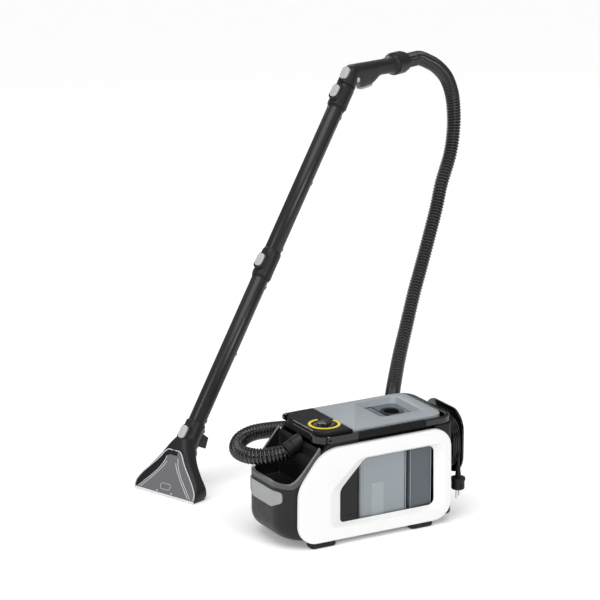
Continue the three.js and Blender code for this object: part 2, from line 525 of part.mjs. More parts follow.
// ---------- wand: push buttons and their bosses ----------
function buttonBoss(at) {
  const { boss, bossWidth, bossLength } = BUTTON;
  return prism('x', planRect(-bossWidth / 2, bossWidth / 2, at - bossLength / 2, at + bossLength / 2,
    11, 11, 4), -boss, -10);
}
function buttonOutline(at, grow) {
  const halfWidth = BUTTON.width / 2 + grow;
  const halfLength = BUTTON.length / 2 + grow;
  return planRect(-halfWidth, halfWidth, at - halfLength, at + halfLength, BUTTON.corner, BUTTON.corner, 4);
}
const buttonHole = (at) => prism('x', buttonOutline(at, 0.8), -40, -BUTTON.floor);
const button = (name, at) =>
  add(shaft, name, prism('x', buttonOutline(at, 0), -BUTTON.out, -BUTTON.in), PALE);

// ---------- wand: floor nozzle ----------
const slope = { along: v(Math.sin(NOZZLE.lean), 0, Math.cos(NOZZLE.lean)),
  out: v(-Math.cos(NOZZLE.lean), 0, Math.sin(NOZZLE.lean)) };
// A flat shape on the nozzle's sloping front: across, up the slope, between two heights over it.
function onSlope(outline, low, high) {
  return loft([low, high].map((over) => outline.map((p) => v(0, p.x, 0).addScaledVector(slope.along, p.y)
    .addScaledVector(slope.out, over))));
}
// Half of the front's outline: [half width, distance up the slope].
const FLARE = [[92, 0], [93, 12], [91, 23], [82, 37], [70, 51], [57, 65], [45, 78], [35, 91], [29, 100],
  [20, 108], [7, 110]];
function flare(inset, bottom, top) {
  const half = FLARE.map(([w, p]) => [Math.max(w - inset, 2), Math.min(Math.max(p, bottom), top)]);
  return polygon(...half, ...half.map(([w, p]) => [-w, p]).reverse());
}

// A section ring across the nozzle: a superellipse about (u, z), tilted by lean.
function section(u, z, lean, front, back, halfWidth, power, count = 32) {
  return Array.from({ length: count }, (_, i) => {
    const angle = 2 * Math.PI * i / count;
    const c = Math.cos(angle);
    const s = Math.sin(angle);
    const depth = Math.sign(c) * Math.abs(c) ** (2 / power) * (c > 0 ? back : front);
    const across = Math.sign(s) * Math.abs(s) ** (2 / power) * halfWidth;
    return v(u + depth * Math.cos(lean), across, z - depth * Math.sin(lean));
  });
}
const onAxis = (s) => [s * Math.sin(WAND.lean), s * Math.cos(WAND.lean)];

function nozzle() {
  const lean = WAND.lean;
  const shell = loft([
    section(24, 0, 0, 26, 22, 90, 9), section(27, 12, 0, 26, 22, 94, 9), section(33, 28, 0.06, 24, 17, 91, 7),
    section(43, 50, 0.18, 24, 15, 72, 4.5), section(56, 76, 0.33, 26, 16, 48, 3.8),
    section(72, 100, 0.5, 30, 19, 31, 3), section(...onAxis(NECK.start - 4), lean, 31, 20.5, 23.5, 2.5),
    section(...onAxis(NECK.start + 6), lean, 23, 21, 22, 2),
    section(...onAxis(NECK.top), lean, 21.5, 21.5, 21.5, 2)]);
  const ahead = onSlope(polygon([-120, -20], [120, -20], [120, 112], [-120, 112]), 0, 60);
  const channel = onSlope(flare(7, -30, 98), -NOZZLE.pocket, 1);
  const toWorld = new THREE.Matrix4().makeRotationY(lean);
  const inShaft = (body) => {
    const geometry = geometryOf(body);
    geometry.applyMatrix4(toWorld);
    return solid(geometry);
  };
  const duct = inShaft(bar(v(0, 0, 112), v(0, 0, TUBE.lower[0] - 2), 13));
  const socket = inShaft(bar(v(0, 0, TUBE.lower[0] - 3), v(0, 0, NECK.top + 2), NECK.bore));
  const bossed = joined(cut(shell, ahead), inShaft(buttonBoss(152)));
  add(wand, 'nozzle_body', cut(bossed, channel, duct, socket, inShaft(buttonHole(152)),
    box(-30, 120, -120, 120, -20, 0)), TUBING);
  add(wand, 'nozzle_cover', onSlope(flare(1, NOZZLE.lip + GAP, 110), GAP, GAP + NOZZLE.cover), CLEAR);
  const lip = polygon([-92, 0], [92, 0], [92, NOZZLE.lip], [-92, NOZZLE.lip]);
  add(wand, 'nozzle_lip', onSlope(lip, GAP, 3), PALE);
  button('nozzle_button', 152);
}

// ---------- wand: tubes, collars and spray line ----------
function tube(name, [low, high]) {
  const body = cut(bar(v(0, 0, low), v(0, 0, high), TUBE.radius, TUBE.radius, TUBE.sides),
    bar(v(0, 0, low - 1), v(0, 0, high + 1), TUBE.bore, TUBE.bore, TUBE.sides));
  add(shaft, name, body, TUBING);
}

function collar(name, { low, high, radius }, buttonAt) {
  const body = joined(bar(v(0, 0, low), v(0, 0, low + 4), radius - 1.5, radius),
    bar(v(0, 0, low + 4), v(0, 0, high - 4), radius),
    bar(v(0, 0, high - 4), v(0, 0, high), radius, radius - 1.5), buttonBoss(buttonAt));
  const tubeHole = bar(v(0, 0, low - 1), v(0, 0, high + 1), TUBE.radius + GAP);
  add(shaft, name, cut(body, tubeHole, buttonHole(buttonAt)), TUBING);
}

function sprayLine(name, low, high) {
  const { offset, radius } = SPRAY;
  add(shaft, name, bar(v(offset, 0, low), v(offset, 0, high), radius, radius, 12), TUBING);
}

function sprayBracket() {
  const plate = prism('y', rounded([[25, 116, 1], [31, 114, 2], [42, 116.5, 2], [38, 128, 2], [31, 134, 2],
    [34, 143, 2], [60, 148, 3], [53, 174, 3], [25, 174, 2]], 3), -8, 8);
  add(shaft, 'spray_valve_block', plate, TUBING);
}

// ---------- wand: grip ----------
// Round sections at the grip's foot: [along the shaft, half height, half width].
const GRIP_FOOT = [[COLLAR.high + 0.6, 20.5, 20.5], [1102, 21.5, 20]];
// Sections of its bend and hand part: [along, height, turn, over and under the middle line, half width].
const GRIP_BEND = [
  [690, 886, 0.42, 24, 32, 20], [716, 884, 0.1, 25, 34, 19.5], [752, 883, 0, 24, 31, 18.5],
  [783, 887, 0, 19, 19, 17.5], [822, 886, 0, 18.5, 18.5, 17.5], [838, 887, 0, 20.5, 20.5, 19]];
// The hose collar's profile: [along, radius].
const GRIP_COLLAR = [[847, 27], [879, 28], [881, 24.5], [GRIP.end, 24.5]];
const GRIP_BORE = [[845, 17.4], [GRIP.end + 2, 17.4]];

function gripBody(shrink) {
  const foot = GRIP_FOOT.map(([s, halfHeight, halfWidth]) =>
    section(...onAxis(s - (shrink && s < 1095 ? 2 : 0)), WAND.lean, halfHeight - shrink, halfHeight - shrink,
      halfWidth - shrink, 2, 24));
  const bend = GRIP_BEND.map(([along, height, turn, over, under, halfWidth]) => section(along, height,
    Math.PI / 2 - turn, over - shrink, under - shrink, halfWidth - shrink, 3.1, 24));
  const end = (shrink ? GRIP_BORE : GRIP_COLLAR).map(([along, radius]) =>
    section(along, GRIP.height, Math.PI / 2, radius, radius, radius, 2, 24));
  return loft([...foot, ...bend, ...end]);
}

function grip() {
  const whole = cut(gripBody(0), gripBody(GRIP.wall));
  const inShaft = (body) => {
    const geometry = geometryOf(body);
    geometry.applyMatrix4(new THREE.Matrix4().makeRotationY(WAND.lean));
    return solid(geometry);
  };
  const triggerSlot = box(713, 762, -8.5, 8.5, 838, 868);
  const topHole = inShaft(prism('x', buttonOutline(1112, 0.8), -40, -13.8));
  const open = cut(whole, triggerSlot, topHole);
  add(wand, 'grip_shell_left', open.intersect(box(550, 1000, -60, -GAP / 2, 700, 1000)), TUBING);
  add(wand, 'grip_shell_right', open.intersect(box(550, 1000, GAP / 2, 60, 700, 1000)), TUBING);
  add(shaft, 'top_button', prism('x', buttonOutline(1112, 0), -24.5, -14.5), PALE);
  add(wand, 'spray_trigger', joined(
    prism('y', rounded([[715, 845, 2.5], [740, 846, 8], [760, 848, 3], [760, 866, 3], [752, 866, 3],
      [746, 855, 3], [715, 852, 2.5]], 3), -7.3, 7.3)), PALE);
  add(wand, 'hose_cuff_handle', bar(v(GRIP.end + GAP, 0, GRIP.height),
    v(GRIP.cuffEnd, 0, GRIP.height), GRIP.cuff, GRIP.cuff), RUBBER);
}

// ---------- build ----------
feet();
cradle();
sidePanel('side_panel_near', 0, BODY.panel);
sidePanel('side_panel_far', BODY.width, -BODY.panel);
nose();
badge();
drive();
rear();
deck();
lid();
tanks();
carryHandle();
cord();
hose();
nozzle();
tube('lower_tube', TUBE.lower);
tube('upper_tube', TUBE.upper);
collar('mid_collar', MID, 603);
collar('handle_collar', COLLAR, 1059);
button('mid_button', 603);
button('collar_button', 1059);
sprayLine('spray_line_lower', NECK.top + 2, MID.low - 2);
sprayLine('spray_line_upper', MID.high + 2, COLLAR.low - 2);
sprayBracket();
grip();

export default group;
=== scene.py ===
# Looks of the spot carpet cleaner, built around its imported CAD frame.
# Shapes are in millimetres in the machine, wand or shaft frame, and are placed in metres.
import bmesh
import bpy
from math import acos, atan2, copysign, cos, pi, radians, sin, sqrt, tan
from mathutils import Matrix, Vector


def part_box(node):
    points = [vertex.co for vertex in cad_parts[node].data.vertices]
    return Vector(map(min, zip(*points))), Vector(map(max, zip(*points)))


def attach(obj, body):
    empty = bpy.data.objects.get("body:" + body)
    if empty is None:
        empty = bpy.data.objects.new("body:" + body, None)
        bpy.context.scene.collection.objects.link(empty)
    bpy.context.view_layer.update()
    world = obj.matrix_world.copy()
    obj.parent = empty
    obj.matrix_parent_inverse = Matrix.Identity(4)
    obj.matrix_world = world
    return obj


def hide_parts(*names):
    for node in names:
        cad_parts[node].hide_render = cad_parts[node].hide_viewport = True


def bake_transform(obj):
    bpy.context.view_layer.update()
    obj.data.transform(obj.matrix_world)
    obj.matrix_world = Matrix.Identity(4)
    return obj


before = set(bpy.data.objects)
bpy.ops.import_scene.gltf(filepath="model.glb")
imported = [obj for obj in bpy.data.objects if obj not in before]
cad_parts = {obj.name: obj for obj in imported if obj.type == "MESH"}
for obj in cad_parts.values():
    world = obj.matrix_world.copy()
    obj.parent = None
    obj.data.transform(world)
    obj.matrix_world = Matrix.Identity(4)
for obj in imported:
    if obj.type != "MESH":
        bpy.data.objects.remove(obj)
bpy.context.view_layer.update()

# ---------- frames ----------
MM = 0.001
CORNER = (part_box("front_housing")[0].x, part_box("side_panel_near")[0].y, 0)
YAW = atan2(0.35, 0.937)
LEAN = atan2(0.611, 0.791)
SLOPE_LEAN = radians(22)
MACHINE = Matrix.Translation(CORNER) @ Matrix.Diagonal((MM, MM, MM, 1))
WAND = MACHINE @ Matrix.Translation((-56.15, 481.4, 0)) @ Matrix.Rotation(YAW, 4, "Z")
SHAFT = WAND @ Matrix.Rotation(LEAN, 4, "Y")
SLOPE = WAND @ Matrix((
    (0, sin(SLOPE_LEAN), -cos(SLOPE_LEAN), 0),
    (-1, 0, 0, 0),
    (0, cos(SLOPE_LEAN), sin(SLOPE_LEAN), 0),
    (0, 0, 0, 1)))


# ---------- outlines and solids ----------
def lengths(points):
    """How far along a line each of its points is."""
    reach = [0.0]
    for a, b in zip(points, points[1:]):
        reach.append(reach[-1] + (b - a).length)
    return reach


def rounded(corners, steps=8):
    """Corners (x, y, radius) as points with round corners."""
    points = []
    for i, (x, y, radius) in enumerate(corners):
        here = Vector((x, y))
        before = (Vector(corners[i - 1][:2]) - here).normalized()
        after = (Vector(corners[(i + 1) % len(corners)][:2]) - here).normalized()
        half = acos(max(-1, min(1, before.dot(after)))) / 2
        reach = radius / tan(half)
        centre = here + (before + after).normalized() * (radius / sin(half))
        start, end = here + before * reach - centre, here + after * reach - centre
        sweep = atan2(start.x * end.y - start.y * end.x, start.dot(end))
        for step in range(steps + 1):
            turn = sweep * step / steps
            points.append((centre.x + start.x * cos(turn) - start.y * sin(turn),
                           centre.y + start.x * sin(turn) + start.y * cos(turn)))
    return points


def inset(corners, by):
    """A convex outline's corners moved in by a distance, their radii with them."""
    count = len(corners)
    area = sum(corners[i - 1][0] * corners[i][1] - corners[i][0] * corners[i - 1][1] for i in range(count))
    side = 1 if area > 0 else -1
    lines = []
    for i in range(count):
        a, b = Vector(corners[i][:2]), Vector(corners[(i + 1) % count][:2])
        along = (b - a).normalized()
        lines.append((a + Vector((-along.y, along.x)) * side * by, along))
    moved = []
    for i in range(count):
        (p, d), (q, e) = lines[i - 1], lines[i]
        t = ((q - p).x * e.y - (q - p).y * e.x) / (d.x * e.y - d.y * e.x)
        moved.append((p.x + d.x * t, p.y + d.y * t, max(corners[i][2] - by, 0.3)))
    return moved


def rect(x0, x1, y0, y1, front, back):
    return [(x0, y0, front), (x1, y0, back), (x1, y1, back), (x0, y1, front)]


def on(axis, points, at):
    """Outline points put on a plane across the named axis."""
    turn = {"x": lambda a, b: (at, a, b), "y": lambda a, b: (a, at, b), "z": lambda a, b: (a, b, at)}[axis]
    return [turn(a, b) for a, b in points]


def loft(rings, closed=False):
    """Faces through rings of equal point counts, closed by end caps or back to the first ring."""
    count, verts = len(rings[0]), [p for ring in rings for p in ring]
    faces = []
    for r in range(len(rings) if closed else len(rings) - 1):
        low, high = r * count, (r + 1) % len(rings) * count
        faces += [(low + i, low + (i + 1) % count, high + (i + 1) % count, high + i) for i in range(count)]
    if not closed:
        faces += [tuple(range(count)), tuple(range(len(verts) - count, len(verts)))]
    return verts, faces


def levels(low, high, soft_low=0.0, soft_high=0.0, steps=5):
    """(position, inset) pairs of a plate whose two edges are rounded."""
    turns = [pi / 2 * i / steps for i in range(steps + 1)]
    first = [(low + soft_low * (1 - sin(t)), soft_low * (1 - cos(t))) for t in reversed(turns)]
    last = [(high - soft_high * (1 - sin(t)), soft_high * (1 - cos(t))) for t in turns]
    return (first if soft_low else [(low, 0)]) + (last if soft_high else [(high, 0)])


def stepped(axis, corners, places, steps=8):
    """A solid whose outline moves in by a distance at each (position, inset)."""
    return loft([on(axis, rounded(inset(corners, by) if by else corners, steps), at) for at, by in places])


def plate(axis, corners, low, high, soft_low=0.0, soft_high=0.0, steps=8):
    return stepped(axis, corners, levels(low, high, soft_low, soft_high), steps)


def prism(axis, points, low, high):
    return loft([on(axis, points, low), on(axis, points, high)])


def block(x0, x1, y0, y1, z0, z1):
    return prism("z", [(x0, y0), (x1, y0), (x1, y1), (x0, y1)], z0, z1)


def circle(radius, sides=48, x=0.0, y=0.0, squash=1.0):
    return [(x + radius * cos(2 * pi * i / sides), y + squash * radius * sin(2 * pi * i / sides))
            for i in range(sides)]


def turned(profile, origin=(0, 0, 0), along=(0, 0, 1), sides=48):
    """A solid of revolution: (radius, distance) pairs about a line."""
    facing = Vector(along).to_track_quat("Z", "Y").to_matrix().to_4x4()
    place = Matrix.Translation(origin) @ facing
    return loft([[tuple(place @ Vector((x, y, at))) for x, y in circle(radius, sides)]
                 for radius, at in profile])


def moved(shape, matrix):
    return [tuple(matrix @ Vector(p)) for p in shape[0]], shape[1]


def together(*shapes):
    verts, faces = [], []
    for more, sides in shapes:
        faces += [tuple(i + len(verts) for i in face) for face in sides]
        verts += more
    return verts, faces


def between(points, steps):
    """Centripetal Catmull-Rom curve through points, a given number of steps for each span."""
    points = [Vector(p) for p in points]
    ends = [points[0] * 2 - points[1], *points, points[-1] * 2 - points[-2]]
    made = []
    for p0, p1, p2, p3 in zip(ends, ends[1:], ends[2:], ends[3:]):
        d0, d1, d2 = [max((b - a).length ** 0.5, 1e-4) for a, b in ((p0, p1), (p1, p2), (p2, p3))]
        out = ((p1 - p0) / d0 - (p2 - p0) / (d0 + d1) + (p2 - p1) / d1) * d1
        into = ((p2 - p1) / d1 - (p3 - p1) / (d1 + d2) + (p3 - p2) / d2) * d1
        for step in range(steps):
            t = step / steps
            made.append(p1 * (2 * t ** 3 - 3 * t * t + 1) + out * (t ** 3 - 2 * t * t + t)
                        + p2 * (3 * t * t - 2 * t ** 3) + into * (t ** 3 - t * t))
    return made + [points[-1]]


def evenly(points, spacing):
    """The same line with its points a given distance apart."""
    reach = lengths(points)
    count = max(2, round(reach[-1] / spacing))
    made, k = [], 0
    for i in range(count + 1):
        at = reach[-1] * i / count
        while k < len(points) - 2 and reach[k + 1] < at:
            k += 1
        made.append(points[k].lerp(points[k + 1], (at - reach[k]) / max(reach[k + 1] - reach[k], 1e-9)))
    return made, reach[-1]


def tube(points, radius_at, sides):
    """Rings about a line without twist; radius_at takes the distance along it and the angle."""
    tangents = [(points[min(i + 1, len(points) - 1)] - points[max(i - 1, 0)]).normalized()
                for i in range(len(points))]
    side = tangents[0].orthogonal().normalized()
    rings, along = [], 0.0
    for i, (p, t) in enumerate(zip(points, tangents)):
        if i:
            along += (p - points[i - 1]).length
            side = (side - t * side.dot(t)).normalized()
        up = t.cross(side)
        ring = []
        for k in range(sides):
            a = 2 * pi * k / sides
            ring.append(tuple(p + (side * cos(a) + up * sin(a)) * radius_at(along, a)))
        rings.append(ring)
    return loft(rings)


def smooth_rings(rings, steps):
    """More rings in between, on curves through matching points of the rings given."""
    lines = [between(line, steps) for line in zip(*rings)]
    return [[tuple(line[i]) for line in lines] for i in range(len(lines[0]))]


# ---------- materials ----------
def nodes_of(name):
    material = bpy.data.materials.new(name)
    material.use_nodes = True
    tree = material.node_tree
    return material, tree, tree.nodes["Principled BSDF"]


def noise(tree, scale, detail=3.0, stretch=None):
    where = tree.nodes.new("ShaderNodeTexCoord").outputs["Object"]
    if stretch:
        mapping = tree.nodes.new("ShaderNodeMapping")
        mapping.inputs["Scale"].default_value = stretch
        tree.links.new(where, mapping.inputs["Vector"])
        where = mapping.outputs["Vector"]
    node = tree.nodes.new("ShaderNodeTexNoise")
    node.inputs["Scale"].default_value = scale
    node.inputs["Detail"].default_value = detail
    tree.links.new(where, node.inputs["Vector"])
    return node.outputs["Fac"]


def spread(tree, value, low, high, from_low=0.3, from_high=0.7):
    node = tree.nodes.new("ShaderNodeMapRange")
    for name, number in (("From Min", from_low), ("From Max", from_high), ("To Min", low), ("To Max", high)):
        node.inputs[name].default_value = number
    tree.links.new(value, node.inputs["Value"])
    return node.outputs["Result"]


def plastic(name, colour, rough, vary=0.06, grain=0.0, grain_scale=1400, stretch=None, metallic=0.0, coat=0.0,
            patch=9.0, shine=0.5):
    """A moulded plastic: slightly uneven colour and gloss, with a fine grain in relief."""
    material, tree, shader = nodes_of(name)
    ramp = tree.nodes.new("ShaderNodeValToRGB")
    for element, share in zip(ramp.color_ramp.elements, (1 - vary, 1 + vary)):
        element.color = [min(1, c * share) for c in colour] + [1]
    ramp.color_ramp.elements[0].position, ramp.color_ramp.elements[1].position = 0.3, 0.7
    cloud = noise(tree, patch, 4.0, stretch)
    tree.links.new(cloud, ramp.inputs["Fac"])
    tree.links.new(ramp.outputs["Color"], shader.inputs["Base Color"])
    smudge = noise(tree, patch * 6, 5.0, stretch)
    tree.links.new(spread(tree, smudge, rough * 0.85, rough * 1.15), shader.inputs["Roughness"])
    for socket, value in (("Metallic", metallic), ("Coat Weight", coat), ("Coat Roughness", 0.08),
                          ("Specular IOR Level", shine)):
        shader.inputs[socket].default_value = value
    bump = tree.nodes.new("ShaderNodeBump")
    bump.inputs["Strength"].default_value = max(grain, 0.04)
    bump.inputs["Distance"].default_value = 0.0002
    tree.links.new(noise(tree, grain_scale, 2.0, stretch), bump.inputs["Height"])
    tree.links.new(bump.outputs["Normal"], shader.inputs["Normal"])
    return material


def clear(name, colour, face_on, edge_on, rough=0.08, vary=0.05, patch=6.0):
    """A see-through plastic that grows more opaque towards its edges."""
    material = plastic(name, colour, rough, vary, patch=patch)
    tree = material.node_tree
    weight = tree.nodes.new("ShaderNodeLayerWeight")
    weight.inputs["Blend"].default_value = 0.35
    tree.links.new(spread(tree, weight.outputs["Facing"], face_on, edge_on, 0.0, 1.0),
                   tree.nodes["Principled BSDF"].inputs["Alpha"])
    return material


WHITE = plastic("white_moulded", (0.86, 0.86, 0.855), 0.34, 0.012, 0.05, coat=0.1)
BLACK = plastic("black_moulded", (0.010, 0.0104, 0.011), 0.4, 0.12, 0.35, shine=0.27)
DARK = plastic("dark_moulded", (0.009, 0.0093, 0.0098), 0.46, 0.12, 0.4, shine=0.1)
GLOSS = plastic("gloss_black", (0.0025, 0.0025, 0.003), 0.07, 0.2, 0.0, coat=0.3, shine=0.4)
KNOB = plastic("gloss_knob", (0.003, 0.003, 0.0035), 0.2, 0.2, 0.9, 600, shine=0.4)
LID = plastic("lid_satin_grey", (0.31, 0.338, 0.362), 0.38, 0.025, 0.2, shine=0.4)
# Painted shade: a darker blue-grey for the floor of the lid's recess.
RECESS_PAINTED_SHADE = plastic("recess_floor_painted_shade", (0.115, 0.135, 0.155), 0.16, 0.05, 0.05, shine=0.4)
PALE = plastic("button_pale_grey", (0.46, 0.465, 0.47), 0.42, 0.04, 0.5, 500)
SATIN = plastic("trim_satin_metallic", (0.075, 0.076, 0.078), 0.32, 0.05, 0.1, metallic=0.5)
# Painted highlight: a bright metallic grey standing in for light caught on the dock trim's top edge and on
# the control head's front edges.
TRIM_PAINTED_HIGHLIGHT = plastic("trim_painted_highlight", (0.36, 0.365, 0.37), 0.26, 0.04, 0.05, metallic=0.6)
SILVER = plastic("badge_brushed", (0.33, 0.334, 0.34), 0.34, 0.05, 0.5, 900, (1, 0.06, 1), metallic=0.7)
YELLOW = plastic("ring_yellow", (0.88, 0.62, 0.006), 0.3, 0.03, 0.05, coat=0.2)
WANDS = plastic("wand_moulded", (0.018, 0.0184, 0.02), 0.33, 0.1, 0.25, shine=0.2)
WAND_TUBE = plastic("wand_tube_drawn", (0.02, 0.0204, 0.022), 0.24, 0.1, 0.15, 700, (1, 1, 0.08), shine=0.32)
RUBBER = plastic("soft_black_rubber", (0.009, 0.009, 0.009), 0.5, 0.15, 0.5, 1100, shine=0.25)
RIBBED = plastic("hose_ribbed_black", (0.0035, 0.0035, 0.0038), 0.15, 0.15, 0.15, shine=0.45)
FLEX = plastic("mains_cord_black", (0.006, 0.006, 0.006), 0.26, 0.15, 0.2, shine=0.35)
PIN = plastic("plug_pin_nickel", (0.7, 0.69, 0.66), 0.2, 0.05, 0.1, metallic=1.0)
# Painted glint: a lighter black for the hose's rib crests, standing in for light caught on them.
HOSE_RIB_GLINT = plastic("hose_rib_painted_glint", (0.03, 0.03, 0.032), 0.16, 0.15, 0.1, shine=0.6)
# Painted shade: a near-black inlay inside the clear nozzle cover's far side.
NOZZLE_PAINTED_SHADE = plastic("nozzle_painted_shade_black", (0.012, 0.012, 0.013), 0.2, 0.1, 0.05, shine=0.4)
METAL = plastic("motor_can_cast", (0.5, 0.51, 0.52), 0.4, 0.08, 0.5, 600, metallic=0.9)
INLET_GREY = plastic("inlet_dark_slate", (0.011, 0.014, 0.0175), 0.35, 0.1, 0.2, shine=0.25)
FRESH = clear("fresh_tank_tinted", (0.31, 0.345, 0.37), 0.88, 0.97, 0.12)
FRESH_LIGHT = clear("fresh_tank_light", (0.36, 0.395, 0.42), 0.9, 0.98, 0.12)
SMOKE = clear("waste_tank_smoked", (0.085, 0.103, 0.118), 0.92, 0.98, 0.12)
PANE = clear("recess_pane_clear", (0.14, 0.165, 0.19), 0.86, 0.97)
COVER = clear("nozzle_cover_clear", (0.165, 0.163, 0.177), 0.86, 0.95, 0.14, vary=0.02)
# Pale grey: painted highlights on the clear cover's raised rim and ribs, and the lip bar's own colour.
COVER_HIGHLIGHT_AND_LIP = plastic("nozzle_cover_highlight_and_lip", (0.72, 0.73, 0.74), 0.2, 0.04, 0.05)


# ---------- pieces ----------
def linked(name, data):
    made = bpy.data.objects.new(name, data)
    bpy.context.scene.collection.objects.link(made)
    return made


def raw(name, shape):
    """A mesh object in millimetres, not placed yet."""
    mesh = bpy.data.meshes.new(name)
    mesh.from_pydata([tuple(p) for p in shape[0]], [], [tuple(f) for f in shape[1]])
    work = bmesh.new()
    work.from_mesh(mesh)
    bmesh.ops.remove_doubles(work, verts=work.verts, dist=1e-4)
    bmesh.ops.dissolve_degenerate(work, edges=work.edges, dist=1e-4)
    bmesh.ops.recalc_face_normals(work, faces=work.faces)
    work.to_mesh(mesh)
    work.free()
    return linked(name, mesh)


def combine(target, shape, operation):
    """Cuts or joins a shape, or keeps what two shapes share."""
    tool = raw("tool", shape)
    change = target.modifiers.new("combine", "BOOLEAN")
    change.operation, change.object, change.solver = operation, tool, "EXACT"
    seen = bpy.context.evaluated_depsgraph_get()
    mesh = bpy.data.meshes.new_from_object(target.evaluated_get(seen))
    target.modifiers.clear()
    target.data = mesh
    bpy.data.objects.remove(tool)


def soften(piece, width, segments=3, angle=32):
    bevel = piece.modifiers.new("soft edges", "BEVEL")
    bevel.width, bevel.segments, bevel.limit_method = width * MM, segments, "ANGLE"
    bevel.angle_limit = radians(angle)
    bevel.harden_normals = True
    bevel.miter_outer = "MITER_ARC"


def piece(name, shape, material, body="machine", place=MACHINE, nodes=(), slot=None, keep=(), cuts=(),
          joins=(), edge=0.0, segments=3, angle=32):
    made = raw(name, shape)
    for operation, shapes in (("INTERSECT", keep), ("UNION", joins), ("DIFFERENCE", cuts)):
        for other in shapes:
            combine(made, other, operation)
    made.data.transform(place)
    for face in made.data.polygons:
        face.use_smooth = True
    made.data.set_sharp_from_angle(angle=radians(angle))
    made.data.materials.clear()
    for each in material if isinstance(material, (list, tuple)) else [material]:
        made.data.materials.append(each)
    if edge:
        soften(made, edge, segments, angle)
    if body:
        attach(made, body)
    if nodes:
        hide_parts(*nodes)
    return made


def paint(made, rule):
    """Gives each face the material index that a rule picks from its centre in millimetres and its normal."""
    back = MACHINE.inverted()
    for face in made.data.polygons:
        face.material_index = rule(back @ face.center, face.normal)


# ---------- camera, light and floor ----------
def stage():
    camera = linked("camera", bpy.data.cameras.new("camera"))
    right, up, ahead = (0.8683, -0.4961, 0), (0.1357, 0.2374, 0.9619), (0.4772, 0.8352, -0.2735)
    turn = Matrix((right, up, [-c for c in ahead])).transposed().to_4x4()
    camera.matrix_world = Matrix.Translation(MACHINE @ Vector((-2919.4, -5165.7, 2269.4))) @ turn
    camera.data.lens, camera.data.sensor_width = 173.66, 36
    camera.data.clip_end = 60
    bpy.context.scene.camera = camera

    floor = raw("floor", block(-30000, 30000, -30000, 30000, -8.0, -0.4))
    floor.data.transform(MACHINE)
    pale = plastic("floor_pale", (0.93, 0.93, 0.93), 0.85, 0.01, 0.05, 60)
    glow = pale.node_tree.nodes["Principled BSDF"].inputs
    glow["Emission Color"].default_value, glow["Emission Strength"].default_value = (1, 1, 1, 1), 0.2
    floor.data.materials.append(pale)

    world = bpy.data.worlds.new("studio")
    world.use_nodes = True
    tree = world.node_tree
    where = tree.nodes.new("ShaderNodeTexCoord").outputs["Generated"]
    split = tree.nodes.new("ShaderNodeSeparateXYZ")
    tree.links.new(where, split.inputs["Vector"])
    sky = spread(tree, split.outputs["Z"], 0.15, 0.5, 0.0, 0.9)
    tree.links.new(sky, tree.nodes["Background"].inputs["Strength"])
    tree.nodes["Background"].inputs["Color"].default_value = (1, 1, 1, 1)
    bpy.context.scene.world = world
    bpy.context.scene.view_settings.view_transform = "Standard"

    sun = linked("sun", bpy.data.lights.new("sun", "SUN"))
    sun.data.energy, sun.data.angle = 1.45, radians(50)
    sun.rotation_euler = Vector((-0.25, -0.32, 1.25)).to_track_quat("Z", "Y").to_euler()
    for name, at, size, power in (("left_soft_box", (-3.4, -1.0, 1.4), (0.8, 2.6), 34),
                                  ("rear_soft_box", (0.9, 3.2, 2.3), (1.8, 0.7), 15),
                                  ("front_soft_box", (0.4, -3.4, 2.2), (1.6, 0.9), 32)):
        lamp = linked(name, bpy.data.lights.new(name, "AREA"))
        lamp.data.shape, lamp.data.energy = "RECTANGLE", power
        lamp.data.size, lamp.data.size_y = size
        lamp.location = at
        lamp.rotation_euler = (Vector(at) - Vector((0, 0, 0.35))).to_track_quat("Z", "Y").to_euler()


# ---------- hose and mains cord ----------
PORT_WALL, PORT_MOUTH = Vector((100, 112, 217.5)), Vector((76, 112, 206.5))
PORT_ALONG = (PORT_MOUTH - PORT_WALL).normalized()
GRIP_HEIGHT, CUFF_END = 887, 936
HOSE_PITCH, HOSE_RADIUS, RIB_HEIGHT = 7.6, 17.0, 1.7


def wand_point(along, height):
    return MACHINE.inverted() @ (WAND @ Vector((along, 0, height)))


def hose_radius(reach, angle):
    """The hose's spiral ribs."""
    return HOSE_RADIUS + RIB_HEIGHT * sin(2 * pi * reach / HOSE_PITCH - angle)


def paint_rib_glints(made, sides=24):
    """The ribs' rounded tops are painted lighter than the folds between them: a painted glint on each rib
    crest.
    """
    points = [v.co for v in made.data.vertices]
    middles = [sum(points[i:i + sides], Vector()) / sides for i in range(0, len(points), sides)]
    for face in made.data.polygons:
        reach = sum((points[v] - middles[v // sides]).length for v in face.vertices) / len(face.vertices)
        face.material_index = int(reach > (HOSE_RADIUS + 0.5) * MM)


